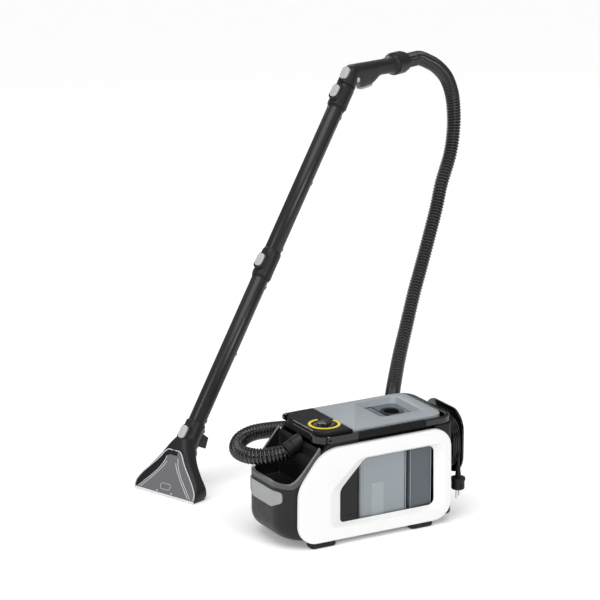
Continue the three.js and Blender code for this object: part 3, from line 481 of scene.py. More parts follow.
def hose():
    start = PORT_MOUTH + PORT_ALONG * 18.6
    heights = (193.5, 190.8, 191, 193.3, 201.5, 207.6)
    loop = []
    for i, height in enumerate(heights):
        angle = pi * (i + 1) / len(heights)
        loop.append((42 - 62 * sin(angle), 174 - 62 * cos(angle), height))
    route = [start, start + PORT_ALONG * 7.7, *[Vector(p) for p in (
        (40, 112.3, 195), *loop,
        (59, 237.2, 208.3), (85, 238.6, 207), (113, 240, 204.6), (141, 241.8, 201), (171, 243.8, 194.5),
        (205, 246, 180), (233, 249, 153), (252, 253, 124), (270, 258, 94), (292, 266, 64), (322, 279, 37.5),
        (358, 298, 22.5), (396, 324, 19), (432, 356, 19), (464, 392, 19), (494, 430, 19), (524, 470, 19),
        (556, 510, 20.5), (590, 552, 27), (626, 598, 42), (664, 650, 64), (702, 700, 90.5), (745, 744, 150),
        (784, 775, 215), (818, 798, 283), (853, 817, 352.5), (885, 832, 423.5), (911, 842, 490),
        (928, 848, 545))],
             *[wand_point(*p) for p in ((1088, 620), (1100, 680), (1100, 727), (1091, 775), (1066, 820),
                                        (1024, 855), (986, 874), (960, 884.5), (946, 887), (936.3, 887))]]
    line, length = evenly(between(route, 12), HOSE_PITCH / 6)
    shape = tube(line, hose_radius, 24)
    made = piece("suction_hose_ribbed", shape, [RIBBED, HOSE_RIB_GLINT], None, nodes=["suction_hose"],
                 slot="hose_black", angle=80)
    # The rib crests get the painted glint.
    paint_rib_glints(made)
    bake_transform(made)


HANK_LOW, HANK_HIGH, HANK_NEAR, HANK_FAR, HANK_CORNER = 108, 231, 28, 189, 50
PLUG_X, PLUG_Y, PLUG_LOW, PLUG_TURN = 459.6, 28, 67, radians(41)


def hank_point(turn, off):
    """A point on the rack's round rectangle, in by off; turn 0 is the middle of its far side."""
    line = rounded(inset(rect(HANK_NEAR, HANK_FAR, HANK_LOW, HANK_HIGH, HANK_CORNER, HANK_CORNER), off), 10)
    points = [Vector(p) for p in line]
    points.append(points[0])
    reach = lengths(points)
    first = next(i for i in range(len(points) - 1) if points[i].x > HANK_FAR - off - 1e-3)
    at = (reach[first] + (HANK_HIGH - HANK_LOW - 2 * HANK_CORNER) / 2 + turn * reach[-1]) % reach[-1]
    k = max(i for i in range(len(reach) - 1) if reach[i] <= at)
    return points[k].lerp(points[k + 1], (at - reach[k]) / max(reach[k + 1] - reach[k], 1e-9))


def mains_cord():
    """The lead leaves its gland, goes round the rack in three layers and hangs to its plug."""
    lanes, layers = [448.3 + 5.7 * i for i in range(4)], (2.9, 8.6, 14.3)
    order = [(0, 0), (0, 1), (0, 2), (1, 2), (1, 1), (1, 0), (2, 0), (2, 1), (2, 2), (3, 2), (3, 1), (3, 0)]
    last_turn = len(order) - 0.5

    def state(turn):
        """Where a turn lies: its lane and layer, passing to the next ones near the turn's end."""
        now = min(int(turn), len(order) - 1)
        (lane, layer), (next_lane, next_layer) = order[now], order[min(now + 1, len(order) - 1)]
        share = min(max((turn - now - 0.8) / 0.2, 0), 1)
        share = share * share * (3 - 2 * share)
        return (lanes[lane] + (lanes[next_lane] - lanes[lane]) * share,
                layers[layer] + (layers[next_layer] - layers[layer]) * share)

    lead = [(450, 137.3, 80), (450, 147, 80), (450, 156.5, 81), (450, 165.5, 84), (450, 173.8, 89),
            (450, 181, 96), (450, 186.7, 104.5), (450, 190.3, 114), (449.8, 191.6, 124), (449.4, 191.2, 135),
            (448.8, 189.2, 148), (448.4, 187, 161)]
    turns = []
    samples = int(last_turn * 26)
    for i in range(1, samples - 1):
        turn = last_turn * i / samples
        x, off = state(turn)
        y, z = hank_point(turn, off)
        turns.append((x, y, z))
    drop = [(463.4, 30.0, 158), (461.6, 28.5, 150), (460.1, 27.3, 142), (459.6, 27.5, 136), (459.6, 28, 130),
            (459.6, 28, 124.4)]
    line, length = evenly(between([*lead, *turns, *drop], 4), 5.0)
    curve = bpy.data.curves.new("mains_cord", "CURVE")
    curve.dimensions = "3D"
    spline = curve.splines.new("POLY")
    spline.points.add(len(line) - 1)
    for point, p in zip(spline.points, line):
        point.co = (*(MACHINE @ p), 1)
    curve.bevel_depth, curve.bevel_resolution, curve.use_fill_caps = 0.0028, 4, True
    curve.materials.append(FLEX)
    cord = linked("mains_cord", curve)
    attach(cord, "machine")
    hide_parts("mains_cord_hank", "mains_cord_to_gland", "mains_cord_to_plug")

    spot = (PLUG_X, PLUG_Y, PLUG_LOW)
    body = turned([(12.4, 0), (14.2, 0.7), (15.2, 2.4), (15.2, 19.6), (16.2, 20.4), (16.8, 21.6),
                   (16.8, 26.2), (16.2, 27.4), (14.8, 28), (6, 28)], spot, sides=64)
    grooves = [block(PLUG_X - 30, PLUG_X + 30, PLUG_Y + side * 15.0 - 1, PLUG_Y + side * 15.0 + 1, z, z + 1.6)
               for side in (-1, 1) for z in (72, 76, 80)]
    relief = [(7.6, 0)]
    for i in range(6):
        size, low = 7.0 - i * 0.4, 0.8 + i * 4.3
        relief += [(size, low), (size, low + 2.6), (size - 1.3, low + 3.0), (size - 1.3, low + 4.0)]
    relief += [(4.4, 27.4), (3.9, 29.0)]
    plug = piece("mains_plug_body", body, [RUBBER], nodes=["mains_plug"], slot="soft_black", cuts=grooves,
                 joins=[turned(relief, (PLUG_X, PLUG_Y, PLUG_LOW + 27.6))], edge=0.5)
    across, back = 9.5 * cos(PLUG_TURN), 9.5 * sin(PLUG_TURN)
    pins = [turned([(1.2, 0), (2.0, 0.5), (2.4, 1.6), (2.4, 21)],
                   (PLUG_X + side * across, PLUG_Y + side * back, PLUG_LOW - 20), sides=20)
            for side in (-1, 1)]
    prongs = piece("mains_plug_pins", together(*pins), PIN, slot="soft_black")


# ---------- machine: panels, nose, trim ----------
PANEL = [(33, 13, 45), (34, 142, 70), (98, 226.5, 80), (424, 227.5, 46), (427, 12, 45)]
WINDOW_IN = [(142, 48, 9), (142, 124, 26), (205, 187.5, 26), (384, 187.5, 14), (386, 48, 14)]
WINDOW_OUT = [(110.5, 40, 22), (110.5, 128, 30), (186, 195.5, 40), (403, 195.5, 18), (406, 40, 20)]


def mixed(first, second, share):
    return [tuple(a + (b - a) * share for a, b in zip(p, q)) for p, q in zip(first, second)]


def side_panel(name, face, inward):
    steps = 12

    def ring(points, depth):
        return on("y", points, face + inward * depth)

    edge, window = rounded(PANEL, steps), rounded(WINDOW_OUT, steps)
    rings = [ring(edge, 14), ring(edge, 5.2)]
    for i in range(1, 6):
        t = pi / 2 * i / 5
        rings.append(ring(rounded(inset(PANEL, 4.6 * (1 - cos(t))), steps), 5.2 - 4.3 * sin(t)))
    shoulder = rounded(inset(PANEL, 4.6), steps)
    for share, depth in ((0.12, 0.5), (0.4, 0.1), (0.7, 0.0), (0.94, 0.0)):
        rings.append(ring(mixed(shoulder, window, share), depth))
    opening = rounded(WINDOW_IN, steps)
    for share, depth in ((0.0, 0.1), (0.03, 0.5), (0.07, 1.2), (0.5, 7.0), (0.93, 13.0), (0.98, 13.7),
                         (1.0, 14.0)):
        rings.append(ring(mixed(window, opening, share), depth))
    piece(name + "_shell", loft(rings, closed=True), WHITE, nodes=[name], slot="white_shell", angle=40)


def nose_plan(z, grow=0.0, soft=0.0):
    """The nose's outline in plan at a height: its front sweeps back near the floor."""
    radius, low = 42, 16
    rise = min(max(z - low, 0), radius)
    front = radius - sqrt(radius ** 2 - (radius - rise) ** 2)
    tuck = max(0.0, 6 - (z - low)) ** 2 / 12 + soft
    return [(front - grow, 14.3 - grow + tuck, 55 + grow), (187, 14.3 - grow + tuck, 0.5),
            (187, 202.7 + grow - tuck, 0.5), (front - grow, 202.7 + grow - tuck, 55 + grow)]


def rim_profile(drop):
    level, bend, top_x, top_z, run = 151, 28, 92, 228, 12
    rise = atan2(top_z - level, top_x - bend)
    slide = drop * tan(rise / 2)
    return [(-run, level - drop), (bend + slide - 9, level - drop), (bend + slide - 3, level - drop + 1.6),
            (bend + slide + 5, level - drop + 7.6),
            (top_x + run * cos(rise) + drop * sin(rise), top_z + run * sin(rise) - drop * cos(rise))]


def above(drop):
    line = rim_profile(drop)
    return prism("y", [*line, (line[-1][0], 330), (-30, 330), (-30, line[0][1])], -10, 227)


def nose():
    heights = [16, 17, 18.5, 20.5, 23, 27, 32, 38, 44, 50, 58, 80, 110, 150, 190, 233]
    hull = loft([on("z", rounded(nose_plan(z), 14), z) for z in heights])
    dock = plate("z", rect(8, 93, 20.3, 196.7, 49, 6), 118, 300, soft_low=5, steps=10)
    inside = [plate("z", rect(10, 188, 20.3, 196.7, 49, 0.5), 60, 112),
              plate("z", rect(40, 188, 20.3, 196.7, 30, 0.5), 24, 61),
              block(99, 188, 20.3, 196.7, 24, 228)]
    seams = [block(-5, 200, 8, 15.0, 61.4, 62.3), block(-5, 200, 202.0, 210, 61.4, 62.3)]
    piece("front_housing_shell", hull, [BLACK], nodes=["front_housing"], slot="black_shell",
          cuts=[*inside, dock, above(10), *seams], edge=0.9)
    trim = piece("dock_trim", loft([on("z", rounded(nose_plan(z), 14), z) for z in (120, 232.7)]),
                 [SATIN, TRIM_PAINTED_HIGHLIGHT, BLACK], nodes=["dock_trim_band"], slot="trim_satin", keep=[above(9.7)],
                 cuts=[above(0), dock, block(92, 300, -5, 222, 0, 320)], edge=1.1, segments=4)

    def trim_face(c, n):
        """The top edge gets a painted highlight in bright grey, the outside satin, and the dock's own side
        black.
        """
        if n.z > 0.5:
            return 1
        return 2 if n.x * (70 - c.x) + n.y * (108.5 - c.y) > 0 else 0

    paint(trim, trim_face)
    piece("badge_plate_shell", loft([on("z", rounded(nose_plan(z, 2.3), 14), z) for z in (85, 145)]), SILVER,
          nodes=["badge_plate"], slot="badge_silver",
          keep=[plate("x", [(38, 109, 8), (68, 95, 30), (149, 95, 30), (179, 109, 8), (179, 134, 8),
                            (38, 134, 8)], -20, 60)],
          cuts=[loft([on("z", rounded(nose_plan(z, 0.3), 14), z) for z in (80, 150)])], edge=0.7)


# ---------- machine: deck, dial, lid ----------
DIAL_X, DIAL_Y, DECK_TOP = 140.5, 81.6, 258
DIAL_TURN, RING_OPENS_AT, RING_OPENING = radians(44), radians(55), radians(62)


def deck():
    plan = [(95, 20, 28), (177.7, 20, 0.5), (177.7, 197, 0.5), (95, 197, 42)]
    stem = turned([(6.5, 225), (6.5, 275)], (DIAL_X, DIAL_Y, 0))
    pins = [turned([(3, 0), (3, 12.5)], (PIVOT_X, y, PIVOT_Z), (0, 1, 0), 24) for y in (8.5, 196.5)]
    piece("control_head_shell", plate("z", plan, 233.3, 250, 0, 0.8, 12), DARK, nodes=["control_head"],
          slot="black_shell", joins=pins,
          cuts=[plate("z", inset(plan, 5), 225, 246, 0, 0, 12), stem], edge=0.6)
    well = turned([(27.5, 252), (27.5, 275)], (DIAL_X, DIAL_Y, 0), sides=72)
    groove_low = DECK_TOP - 1.2
    groove = loft([on("z", circle(radius, 72, DIAL_X, DIAL_Y), z) for radius, z in
                   ((28.9, groove_low), (37, groove_low), (37, 275), (28.9, 275))], closed=True)
    top = stepped("z", plan, [(250.3, 0.8), (251.0, 0.0), (254.4, 0.0), (255.6, 0.5), (256.9, 1.6),
                              (257.7, 2.9), (258, 4.6)], 12)
    piece("control_panel_shell", top, DARK, nodes=["control_panel"], slot="black_shell",
          cuts=[well, groove, stem], edge=0.5)

    # Two thin bright beads along the head's front, at its top edge and at the seam below it: painted
    # highlights.
    for at, z in ((94.9, 249.0), (96.3, 256.7)):
        bead = [(56 + 1.2 * cos(a), 0.55 * sin(a)) for a in (pi / 2, pi, pi * 1.5)]
        bead += [(142 - 1.2 * cos(a), 0.55 * sin(a)) for a in (pi * 1.5, pi, pi / 2)]
        piece(f"head_edge_painted_highlight_{int(z)}",
              plate("x", [(x, z + y, 0.2) for x, y in bead], at - 0.45, at + 0.8, 0.2, 0, 3), TRIM_PAINTED_HIGHLIGHT,
              slot="black_shell")

    start = RING_OPENS_AT + RING_OPENING / 2
    end = RING_OPENS_AT + 2 * pi - RING_OPENING / 2

    def arc(radius, a, b, count=60):
        return [(DIAL_X + radius * cos(a + (b - a) * i / count),
                 DIAL_Y + radius * sin(a + (b - a) * i / count)) for i in range(count + 1)]

    piece("dial_ring_mark", prism("z", arc(36.4, start, end) + arc(29.6, end, start), 257.1, 258.7), YELLOW,
          nodes=["dial_ring"], slot="ring_yellow", edge=0.4)
    spot = (DIAL_X, DIAL_Y, 0)
    base = turned([(5, 234.3), (5, 252.6), (26.0, 252.6), (26.5, 253.2), (26.5, 257.4), (25.9, 258.7),
                   (24.6, 259.3), (23.4, 258.9), (22.2, 257.9)], spot, sides=72)
    bar = loft([on("z", rounded(rect(by - 22, 22 - by, by - 13, 13 - by, 9, 9), 8), z)
                for z, by in ((256, 0), (262.6, 0.6), (264.2, 1.4), (265, 3.0))])
    turn = Matrix.Translation(spot) @ Matrix.Rotation(DIAL_TURN, 4, "Z")
    piece("power_dial_knob", base, [KNOB, PALE], "dial", nodes=["power_dial"], slot="gloss_black",
          joins=[moved(bar, turn)], edge=0.35)
    piece("power_dial_mark", moved(plate("z", rect(-18.6, -17.2, -9.5, 9.5, 0.6, 0.6), 264.6, 265.2, 0, 0.1,
                                         3), turn), PALE, "dial", slot="gloss_black")


INLET_X, INLET_Y, INLET_SQUASH = 336, 116, 24 / 22


def lid():
    plan = rect(178.3, 415, 20, 197, 0.5, 28)
    body = stepped("z", plan, [(240.3, 0.8), (241.0, 0), (254.0, 0), (255.4, 0.5), (256.8, 1.7),
                               (257.6, 3.1), (258, 5.0)], 12)
    pit = loft([on("z", rounded(rect(275 + by, 382 - by, 61 + by, 178 - by, 13, 13), 10), at)
                for at, by in [(243, 8.2), (243.4, 7.0), (244.2, 6.2), (256.6, 1.5), (257.6, 0.5),
                               (258.0, -0.5), (259, -3)]])
    oval = prism("z", circle(22.3, 56, INLET_X, INLET_Y, 24.3 / 22.3), 230, 250)
    parting = [block(268.2, 268.9, 19, 61.0, 257.4, 259), block(268.2, 268.9, 178, 198, 257.4, 259)]
    shell = piece("tank_lid_shell", body, [LID, RECESS_PAINTED_SHADE], "tank_unit", nodes=["tank_lid"], slot="lid_grey",
                  cuts=[pit, oval, block(186.3, 267, 34, 183, 239, 253), *parting], edge=0.45)
    # The recess's floor faces get the darker grey: painted shade in the pit.
    paint(shell, lambda c, n: int(275 < c.x < 382 and 61 < c.y < 178 and c.z < 244.4 and n.z > 0.3))
    cup = loft([on("z", circle(r, 56, INLET_X, INLET_Y, INLET_SQUASH), z) for r, z in
                [(17, 231.3), (22, 231.3), (22, 245.8), (25.9, 245.8), (26.4, 246.3), (25.8, 246.9),
                 (18.4, 246.9), (17.4, 246.2), (17, 234.3), (0.5, 234.3), (0.5, 231.3)]], closed=True)
    piece("waste_inlet_cup", cup, INLET_GREY, "tank_unit", nodes=["waste_inlet"], slot="tank_smoke", angle=40)
    pane = plate("z", rect(284.3, 310.7, 73.3, 165.7, 4, 4), 243.3, 245.2, 0.2, 0.6, 6)
    piece("recess_pane_plate", pane, PANE, "tank_unit", nodes=["recess_pane"], slot="tank_clear",
          edge=0.2)
    frame_line = rounded(rect(282.6, 312.4, 71.6, 167.4, 4.5, 4.5), 6)
    piece("recess_pane_edge", strip([*frame_line, frame_line[0]], 1.6, 243.1, 245.6), INLET_GREY, "tank_unit",
          slot="tank_smoke", angle=40)


# ---------- machine: tanks ----------
def tanks():
    for name, front, back, material, node_slot in (("fresh_tank", 193, 317, [FRESH, FRESH_LIGHT],
                                                    "tank_clear"),
                                                   ("waste_tank", 323, 385, [SMOKE, FRESH], "tank_smoke")):
        plan = rect(front, back, 18.7, 198.3, 10, 10)
        bevels = levels(30, 60, 4)[:6]
        outside = [on("z", rounded(inset(plan, by) if by else plan, 8), at) for at, by in bevels + [(225, 0)]]
        inside = [on("z", rounded(inset(plan, 2.5 + by), 8), at) for at, by in [(225, 0), (36, 0), (33, 3)]]
        wall = loft(outside + inside)
        parts = [wall]
        if name == "fresh_tank":
            for y in (18.0, 197.8):
                parts.append(plate("y", [(225, 34, 2), (257, 34, 2), (257, 124, 3), (225, 124, 3)], y,
                                   y + 1.2, 0.3, 0.3, 4))
                parts += [block(x, x + 1.6, y, y + 1.2, 34, 224) for x in (205, 313.2)]
        else:
            parts += [block(x, x + 1.4, y, y + 1.2, 34, 224) for y in (18.0, 197.8) for x in (326, 379)]
        made = piece(name + "_wall", together(*parts), material, "tank_unit", nodes=[name], slot=node_slot,
                     angle=30)
        walls = len(wall[1])
        for i, face in enumerate(made.data.polygons):
            face.material_index = 0 if i < walls else 1


# ---------- machine: handle, rear, cord rack ----------
BAR_LOW, BAR_HIGH, BAR_WIDTH, PIVOT_X, PIVOT_Z = 236.5, 252, 9.7, 113, 244.3


def handle():
    outer, inner = rect(113, 437, 8, 209, 0.5, 34), rect(112, 424, 17.7, 199.3, 0.5, 20)
    hoop = prism("z", rounded(outer, 14), BAR_LOW, BAR_HIGH)
    within = prism("z", rounded(inner, 14), 230, 260)
    piece("carry_handle_grip", hoop, GLOSS, "bail", nodes=["carry_handle"], slot="gloss_black",
          cuts=[within, block(50, 360.2, -5, 222, 230, 260)], edge=2.6, segments=4, angle=50)
    for side, y in (("near", 8.0), ("far", 199.3)):
        hub = turned([(7.7, 0), (7.7, BAR_WIDTH)], (PIVOT_X, y, PIVOT_Z), (0, 1, 0))
        hole = turned([(3.3, -1), (3.3, 11)], (PIVOT_X, y, PIVOT_Z), (0, 1, 0), 24)
        piece(f"handle_arm_{side}_bar", block(185.2, 360, y, y + BAR_WIDTH, BAR_LOW, BAR_HIGH), DARK, "bail",
              nodes=[f"handle_arm_{side}"], slot="black_shell", edge=1.6, segments=4, angle=50)
        piece(f"handle_arm_{side}_root", block(PIVOT_X, 185, y, y + BAR_WIDTH, BAR_LOW, BAR_HIGH), GLOSS,
              "bail", slot="gloss_black", joins=[hub], cuts=[hole], edge=1.6, segments=4, angle=50)
    bumper = prism("z", rounded(rect(84, 300, 8, 209, 34, 1), 14), BAR_LOW, BAR_HIGH)
    piece("front_bumper_near", bumper, GLOSS, slot="gloss_black", keep=[block(0, 105, -5, 46, 230, 260)],
          cuts=[prism("z", rounded(rect(94.7, 301, 19.7, 197.3, 28, 1), 14), 230, 260)], edge=2.2, segments=4,
          angle=50)


def rear():
    plan = rect(388, 440, 14.3, 202.7, 0.5, 20)
    shell = plate("z", plan, 16, 233, 5, 2.5, 12)
    vents = [block(436, 445, 70, 147, z, z + 3.2) for z in range(28, 62, 7)]
    piece("rear_housing_shell", shell, BLACK, nodes=["rear_housing"], slot="black_shell",
          cuts=[block(387, 435, 22.3, 194.7, 21, 228), *vents], edge=0.6)
    outline = [(27, 94, 48), (190, 94, 48), (190, 247, 48), (27, 247, 48)]
    dish = plate("x", inset(outline, 7), 473.0, 490, 0.6, 0, 14)
    piece("cord_rack_plate_shell", plate("x", outline, 468.9, 474, 1.6, 1.8, 14), GLOSS,
          nodes=["cord_rack_plate"], slot="black_shell", cuts=[dish], edge=0.3)


# ---------- hose ends ----------
def hose_ends():
    piece("hose_port_socket",
          turned([(19.5, 0), (19.5, 20), (19.0, 25.4), (18.2, 26.2), (14.8, 26.4)], PORT_WALL, PORT_ALONG,
                 56), BLACK, nodes=["hose_port"], slot="black_shell",
          cuts=[block(92.7, 140, 60, 160, 150, 260)], edge=0.3)
    cuff = turned([(17.6, 0), (18.5, 0.6), (18.5, 13.4), (17.8, 14.2), (17.8, 15.0), (17.6, 17.2),
                   (16.8, 18)], PORT_MOUTH + PORT_ALONG * 0.3, PORT_ALONG, 56)
    piece("hose_cuff_machine_sleeve", cuff, RUBBER, nodes=["hose_cuff_machine"], slot="hose_black", edge=0.3)
    top = PORT_ALONG.cross(Vector((0, 1, 0))).normalized()
    axes = Matrix((PORT_ALONG, Vector((0, 1, 0)), top)).transposed().to_4x4()
    seat = Matrix.Translation(PORT_MOUTH + PORT_ALONG * 0.3) @ axes
    ridges = [moved(plate("z", rect(x, x + 1.7, -8.5, 8.5, 0.6, 0.6), 15, 19.4, 0, 0.5, 3), seat)
              for x in (-9, -5.6, -2.2, 1.2, 4.6, 8)]
    piece("hose_cuff_machine_ridges", together(*ridges), RUBBER, slot="hose_black")
    line, _ = evenly([Vector((CUFF_END, 0, GRIP_HEIGHT)), Vector((886, 0, GRIP_HEIGHT))], HOSE_PITCH / 6)
    ribbed = tube(line, hose_radius, 24)
    # The handle cuff's rib crests get the same painted glint.
    paint_rib_glints(piece("hose_cuff_handle_sleeve", ribbed, [RIBBED, HOSE_RIB_GLINT], "wand", WAND,
                     nodes=["hose_cuff_handle"], slot="hose_black", angle=80))


# ---------- wand ----------
def section(u, z, lean, front, back, half_width, power, count=56):
    """A superellipse ring about (u, z) in the wand's plane, tilted by lean."""
    ring = []
    for i in range(count):
        c, s = cos(2 * pi * i / count), sin(2 * pi * i / count)
        depth = copysign(abs(c) ** (2 / power), c) * (back if c > 0 else front)
        across = copysign(abs(s) ** (2 / power), s) * half_width
        ring.append((u + depth * cos(lean), across, z - depth * sin(lean)))
    return ring


def on_axis(s):
    return s * sin(LEAN), s * cos(LEAN)


IN_WAND = Matrix.Rotation(LEAN, 4, "Y")
IN_SLOPE = WAND.inverted() @ SLOPE
BUTTON_FLOOR = 21.8
TUBE_RADIUS = 20.6
PIPE_OFFSET = 25.2
NOZZLE_BUTTON, MID_BUTTON, COLLAR_BUTTON, TOP_BUTTON = 152, 603, 1059, 1112


def boss(at, high=31.6):
    """The raised surround of a push button, higher below the button than above it."""
    rings = []
    plan = rect(-13.5, 13.5, at - 21, at + 21, 11, 11)
    for height, by in ((10, 0), (high - 2.2, 0), (high - 0.7, 0.7), (high, 2.0)):
        corners = inset(plan, by) if by else plan
        rings.append([(-height + (3.2 * (y - at + 21) / 42 if height > 20 else 0), x, y)
                      for x, y in rounded(corners, 8)])
    return loft(rings)


def button_hole(at):
    return prism("x", rounded(rect(-10.8, 10.8, at - 16.8, at + 16.8, 9.8, 9.8), 8), -45, -BUTTON_FLOOR)


def button(name, at, out=34.0, low=25.0):
    """A domed push button with grip ridges across its lower half."""
    corners, rings = rect(-10, 10, at - 16, at + 16, 9, 9), []
    for height, by in ((low, 0), (out - 1.6, 0), (out - 0.7, 0.5), (out - 0.15, 1.6), (out, 3.6)):
        rings.append([(-height, x, y) for x, y in rounded(inset(corners, by) if by else corners, 8)])
    grooves = [block(-out - 2, -out + 0.35, -4.6, 4.6, at - 10 + 3.2 * i,
                     at - 8.9 + 3.2 * i) for i in range(4)]
    piece(name + "_button_cap", loft(rings), PALE, name + "_latch", SHAFT, nodes=[name + "_button"],
          slot="button_grey", cuts=grooves, edge=0.25)


FLARE = [(92, 0), (93, 12), (91, 23), (82, 37), (70, 51), (57, 65), (45, 78), (35, 91), (29, 100), (20, 108),
         (7, 110)]


def flare(by, bottom, top):
    """The nozzle front's outline: across, up the slope."""
    smooth = [(p.x, p.y) for p in between([Vector((w, d, 0)) for w, d in FLARE], 4)]
    half = [(max(w - by, 2), min(max(d, bottom), top)) for w, d in smooth]
    half = [p for i, p in enumerate(half) if i == 0 or (Vector(p) - Vector(half[i - 1])).length > 0.05]
    return half + [(-w, d) for w, d in reversed(half)]


def strip(points, width, low, high):
    """A raised line on a flat face, along points (x, y)."""
    line = [Vector((x, y, 0)) for x, y in points]
    rings = []
    for i, p in enumerate(line):
        along = (line[min(i + 1, len(line) - 1)] - line[max(i - 1, 0)]).normalized()
        side = Vector((-along.y, along.x, 0)) * width / 2
        rings.append([(*(p + side).xy, low), (*(p + side * 0.55).xy, high), (*(p - side * 0.55).xy, high),
                      (*(p - side).xy, low)])
    return loft(rings)


def nozzle():
    rings = [section(24, 0, 0, 26, 22, 90, 9), section(27, 12, 0, 26, 22, 94, 9),
             section(33, 28, 0.06, 24, 17, 91, 7), section(43, 50, 0.18, 24, 15, 72, 4.5),
             section(56, 76, 0.33, 26, 16, 48, 3.8), section(72, 100, 0.5, 30, 19, 31, 3),
             section(*on_axis(136), LEAN, 31, 22.5, 25.5, 2.5),
             section(*on_axis(146), LEAN, 25, 23.5, 24.5, 2), section(*on_axis(166), LEAN, 24, 24, 24, 2),
             section(*on_axis(186.6), LEAN, 24, 24, 24, 2), section(*on_axis(188), LEAN, 23, 23, 23, 2)]
    hull = loft(smooth_rings(rings[:-2], 5) + rings[-2:])
    ahead = moved(block(-120, 120, -20, 112, 0, 60), IN_SLOPE)
    channel = moved(prism("z", flare(7, -30, 98), -18, 1), IN_SLOPE)
    socket = moved(turned([(TUBE_RADIUS + 0.2, 175), (TUBE_RADIUS + 0.2, 191)]), IN_WAND)
    duct = moved(turned([(13, 112), (13, 176)]), IN_WAND)
    piece("nozzle_shell", hull, WANDS, "wand", WAND, nodes=["nozzle_body"], slot="wand_grey",
          cuts=[ahead, channel, duct, socket, moved(button_hole(NOZZLE_BUTTON), IN_WAND),
                block(-40, 120, -120, 120, -20, 0)], edge=0.7)
    piece("nozzle_button_boss", boss(NOZZLE_BUTTON), WANDS, "wand", SHAFT, slot="wand_grey",
          cuts=[button_hole(NOZZLE_BUTTON)], edge=0.3)
    button("nozzle", NOZZLE_BUTTON)

    piece("nozzle_cover_plate", prism("z", flare(1, 5.3, 110), 0.3, 2.5), COVER, "wand", SLOPE,
          nodes=["nozzle_cover"], slot="nozzle_clear", edge=0.4)
    rib = ((80, 8), (60, 29), (40, 50), (27, 68), (20, 81), (17, 92))
    # A dark band under the clear cover's far side, between its outline and the rib: painted shade.
    shade = [(12, 107), *[p for p in flare(3.6, 7, 107) if p[0] < 0], *[(-x - 1, y) for x, y in rib],
             (-10, 97), (12, 97)]
    piece("nozzle_cover_shade", prism("z", shade, 2.3, 2.62), NOZZLE_PAINTED_SHADE, "wand", SLOPE, slot="nozzle_clear",
          angle=40)
    # The cover's raised rim, ribs, badge outline and dots are pale: painted highlights for light caught on
    # the clear cover's edges.
    outline = flare(2.2, 8, 108.6)
    half = len(outline) // 2
    rim = [strip(outline[:half], 2.0, 2.45, 4.0), strip(outline[half:], 2.0, 2.45, 4.0)]
    ribs = []
    for side in (-1, 1):
        for curve in (rib, ((73, 8), (52, 30), (33, 51), (20, 68), (13.5, 80))):
            points = between([Vector((side * x, y, 0)) for x, y in curve], 6)
            ribs.append(strip([(p.x, p.y) for p in points], 1.3, 2.45, 3.5))
    badge = rounded(rect(-15, 15, 15, 29, 6.5, 6.5), 8)
    ribs.append(strip([*badge, badge[0]], 0.9, 2.45, 3.0))
    ribs += [turned([(1.7, 2.45), (1.7, 3.1), (1.0, 3.6)], (x, 9, 0), sides=20) for x in (-22, 22)]
    piece("nozzle_cover_ribs", together(*rim, *ribs), COVER_HIGHLIGHT_AND_LIP, "wand", SLOPE, slot="nozzle_clear",
          angle=40)
    lip = plate("z", rect(-92, 92, 0, 5, 1.2, 1.2), 0.3, 3, 0, 0.8, 4)
    piece("nozzle_lip_bar", lip, COVER_HIGHLIGHT_AND_LIP, "wand", SLOPE, nodes=["nozzle_lip"], slot="button_grey",
          edge=0.2)


def collar(name, low, high, radius, at):
    outer = [(radius - 1.2, low), (radius, low + 1.0), (radius, low + 9), (radius - 0.4, low + 12),
             (radius - 0.4, high - 9), (radius - 1.0, high - 4), (radius - 2.4, high - 0.8),
             (radius - 3.0, high)]
    bore = turned([(TUBE_RADIUS + 0.2, low - 1), (TUBE_RADIUS + 0.2, high + 1)])
    stop = plate("x", [(-5, at + 19, 2), (5, at + 19, 2), (5, at + 26, 2), (-5, at + 26, 2)], -radius - 4.5,
                 -15, 1.6, 0, 4)
    piece(name + "_shell", turned(outer, sides=64), WANDS, "wand", SHAFT, nodes=[name], slot="wand_grey",
          joins=[boss(at), stop], cuts=[bore, button_hole(at)], edge=0.35)
    ring = turned([(20.7, low - 5), (21.8, low - 4.6), (22.0, low - 0.3), (20.7, low - 0.3)], sides=56)
    piece(name + "_seal", ring, RUBBER, "wand", SHAFT, slot="soft_black",
          cuts=[turned([(20.65, low - 8), (20.65, low + 3)])])


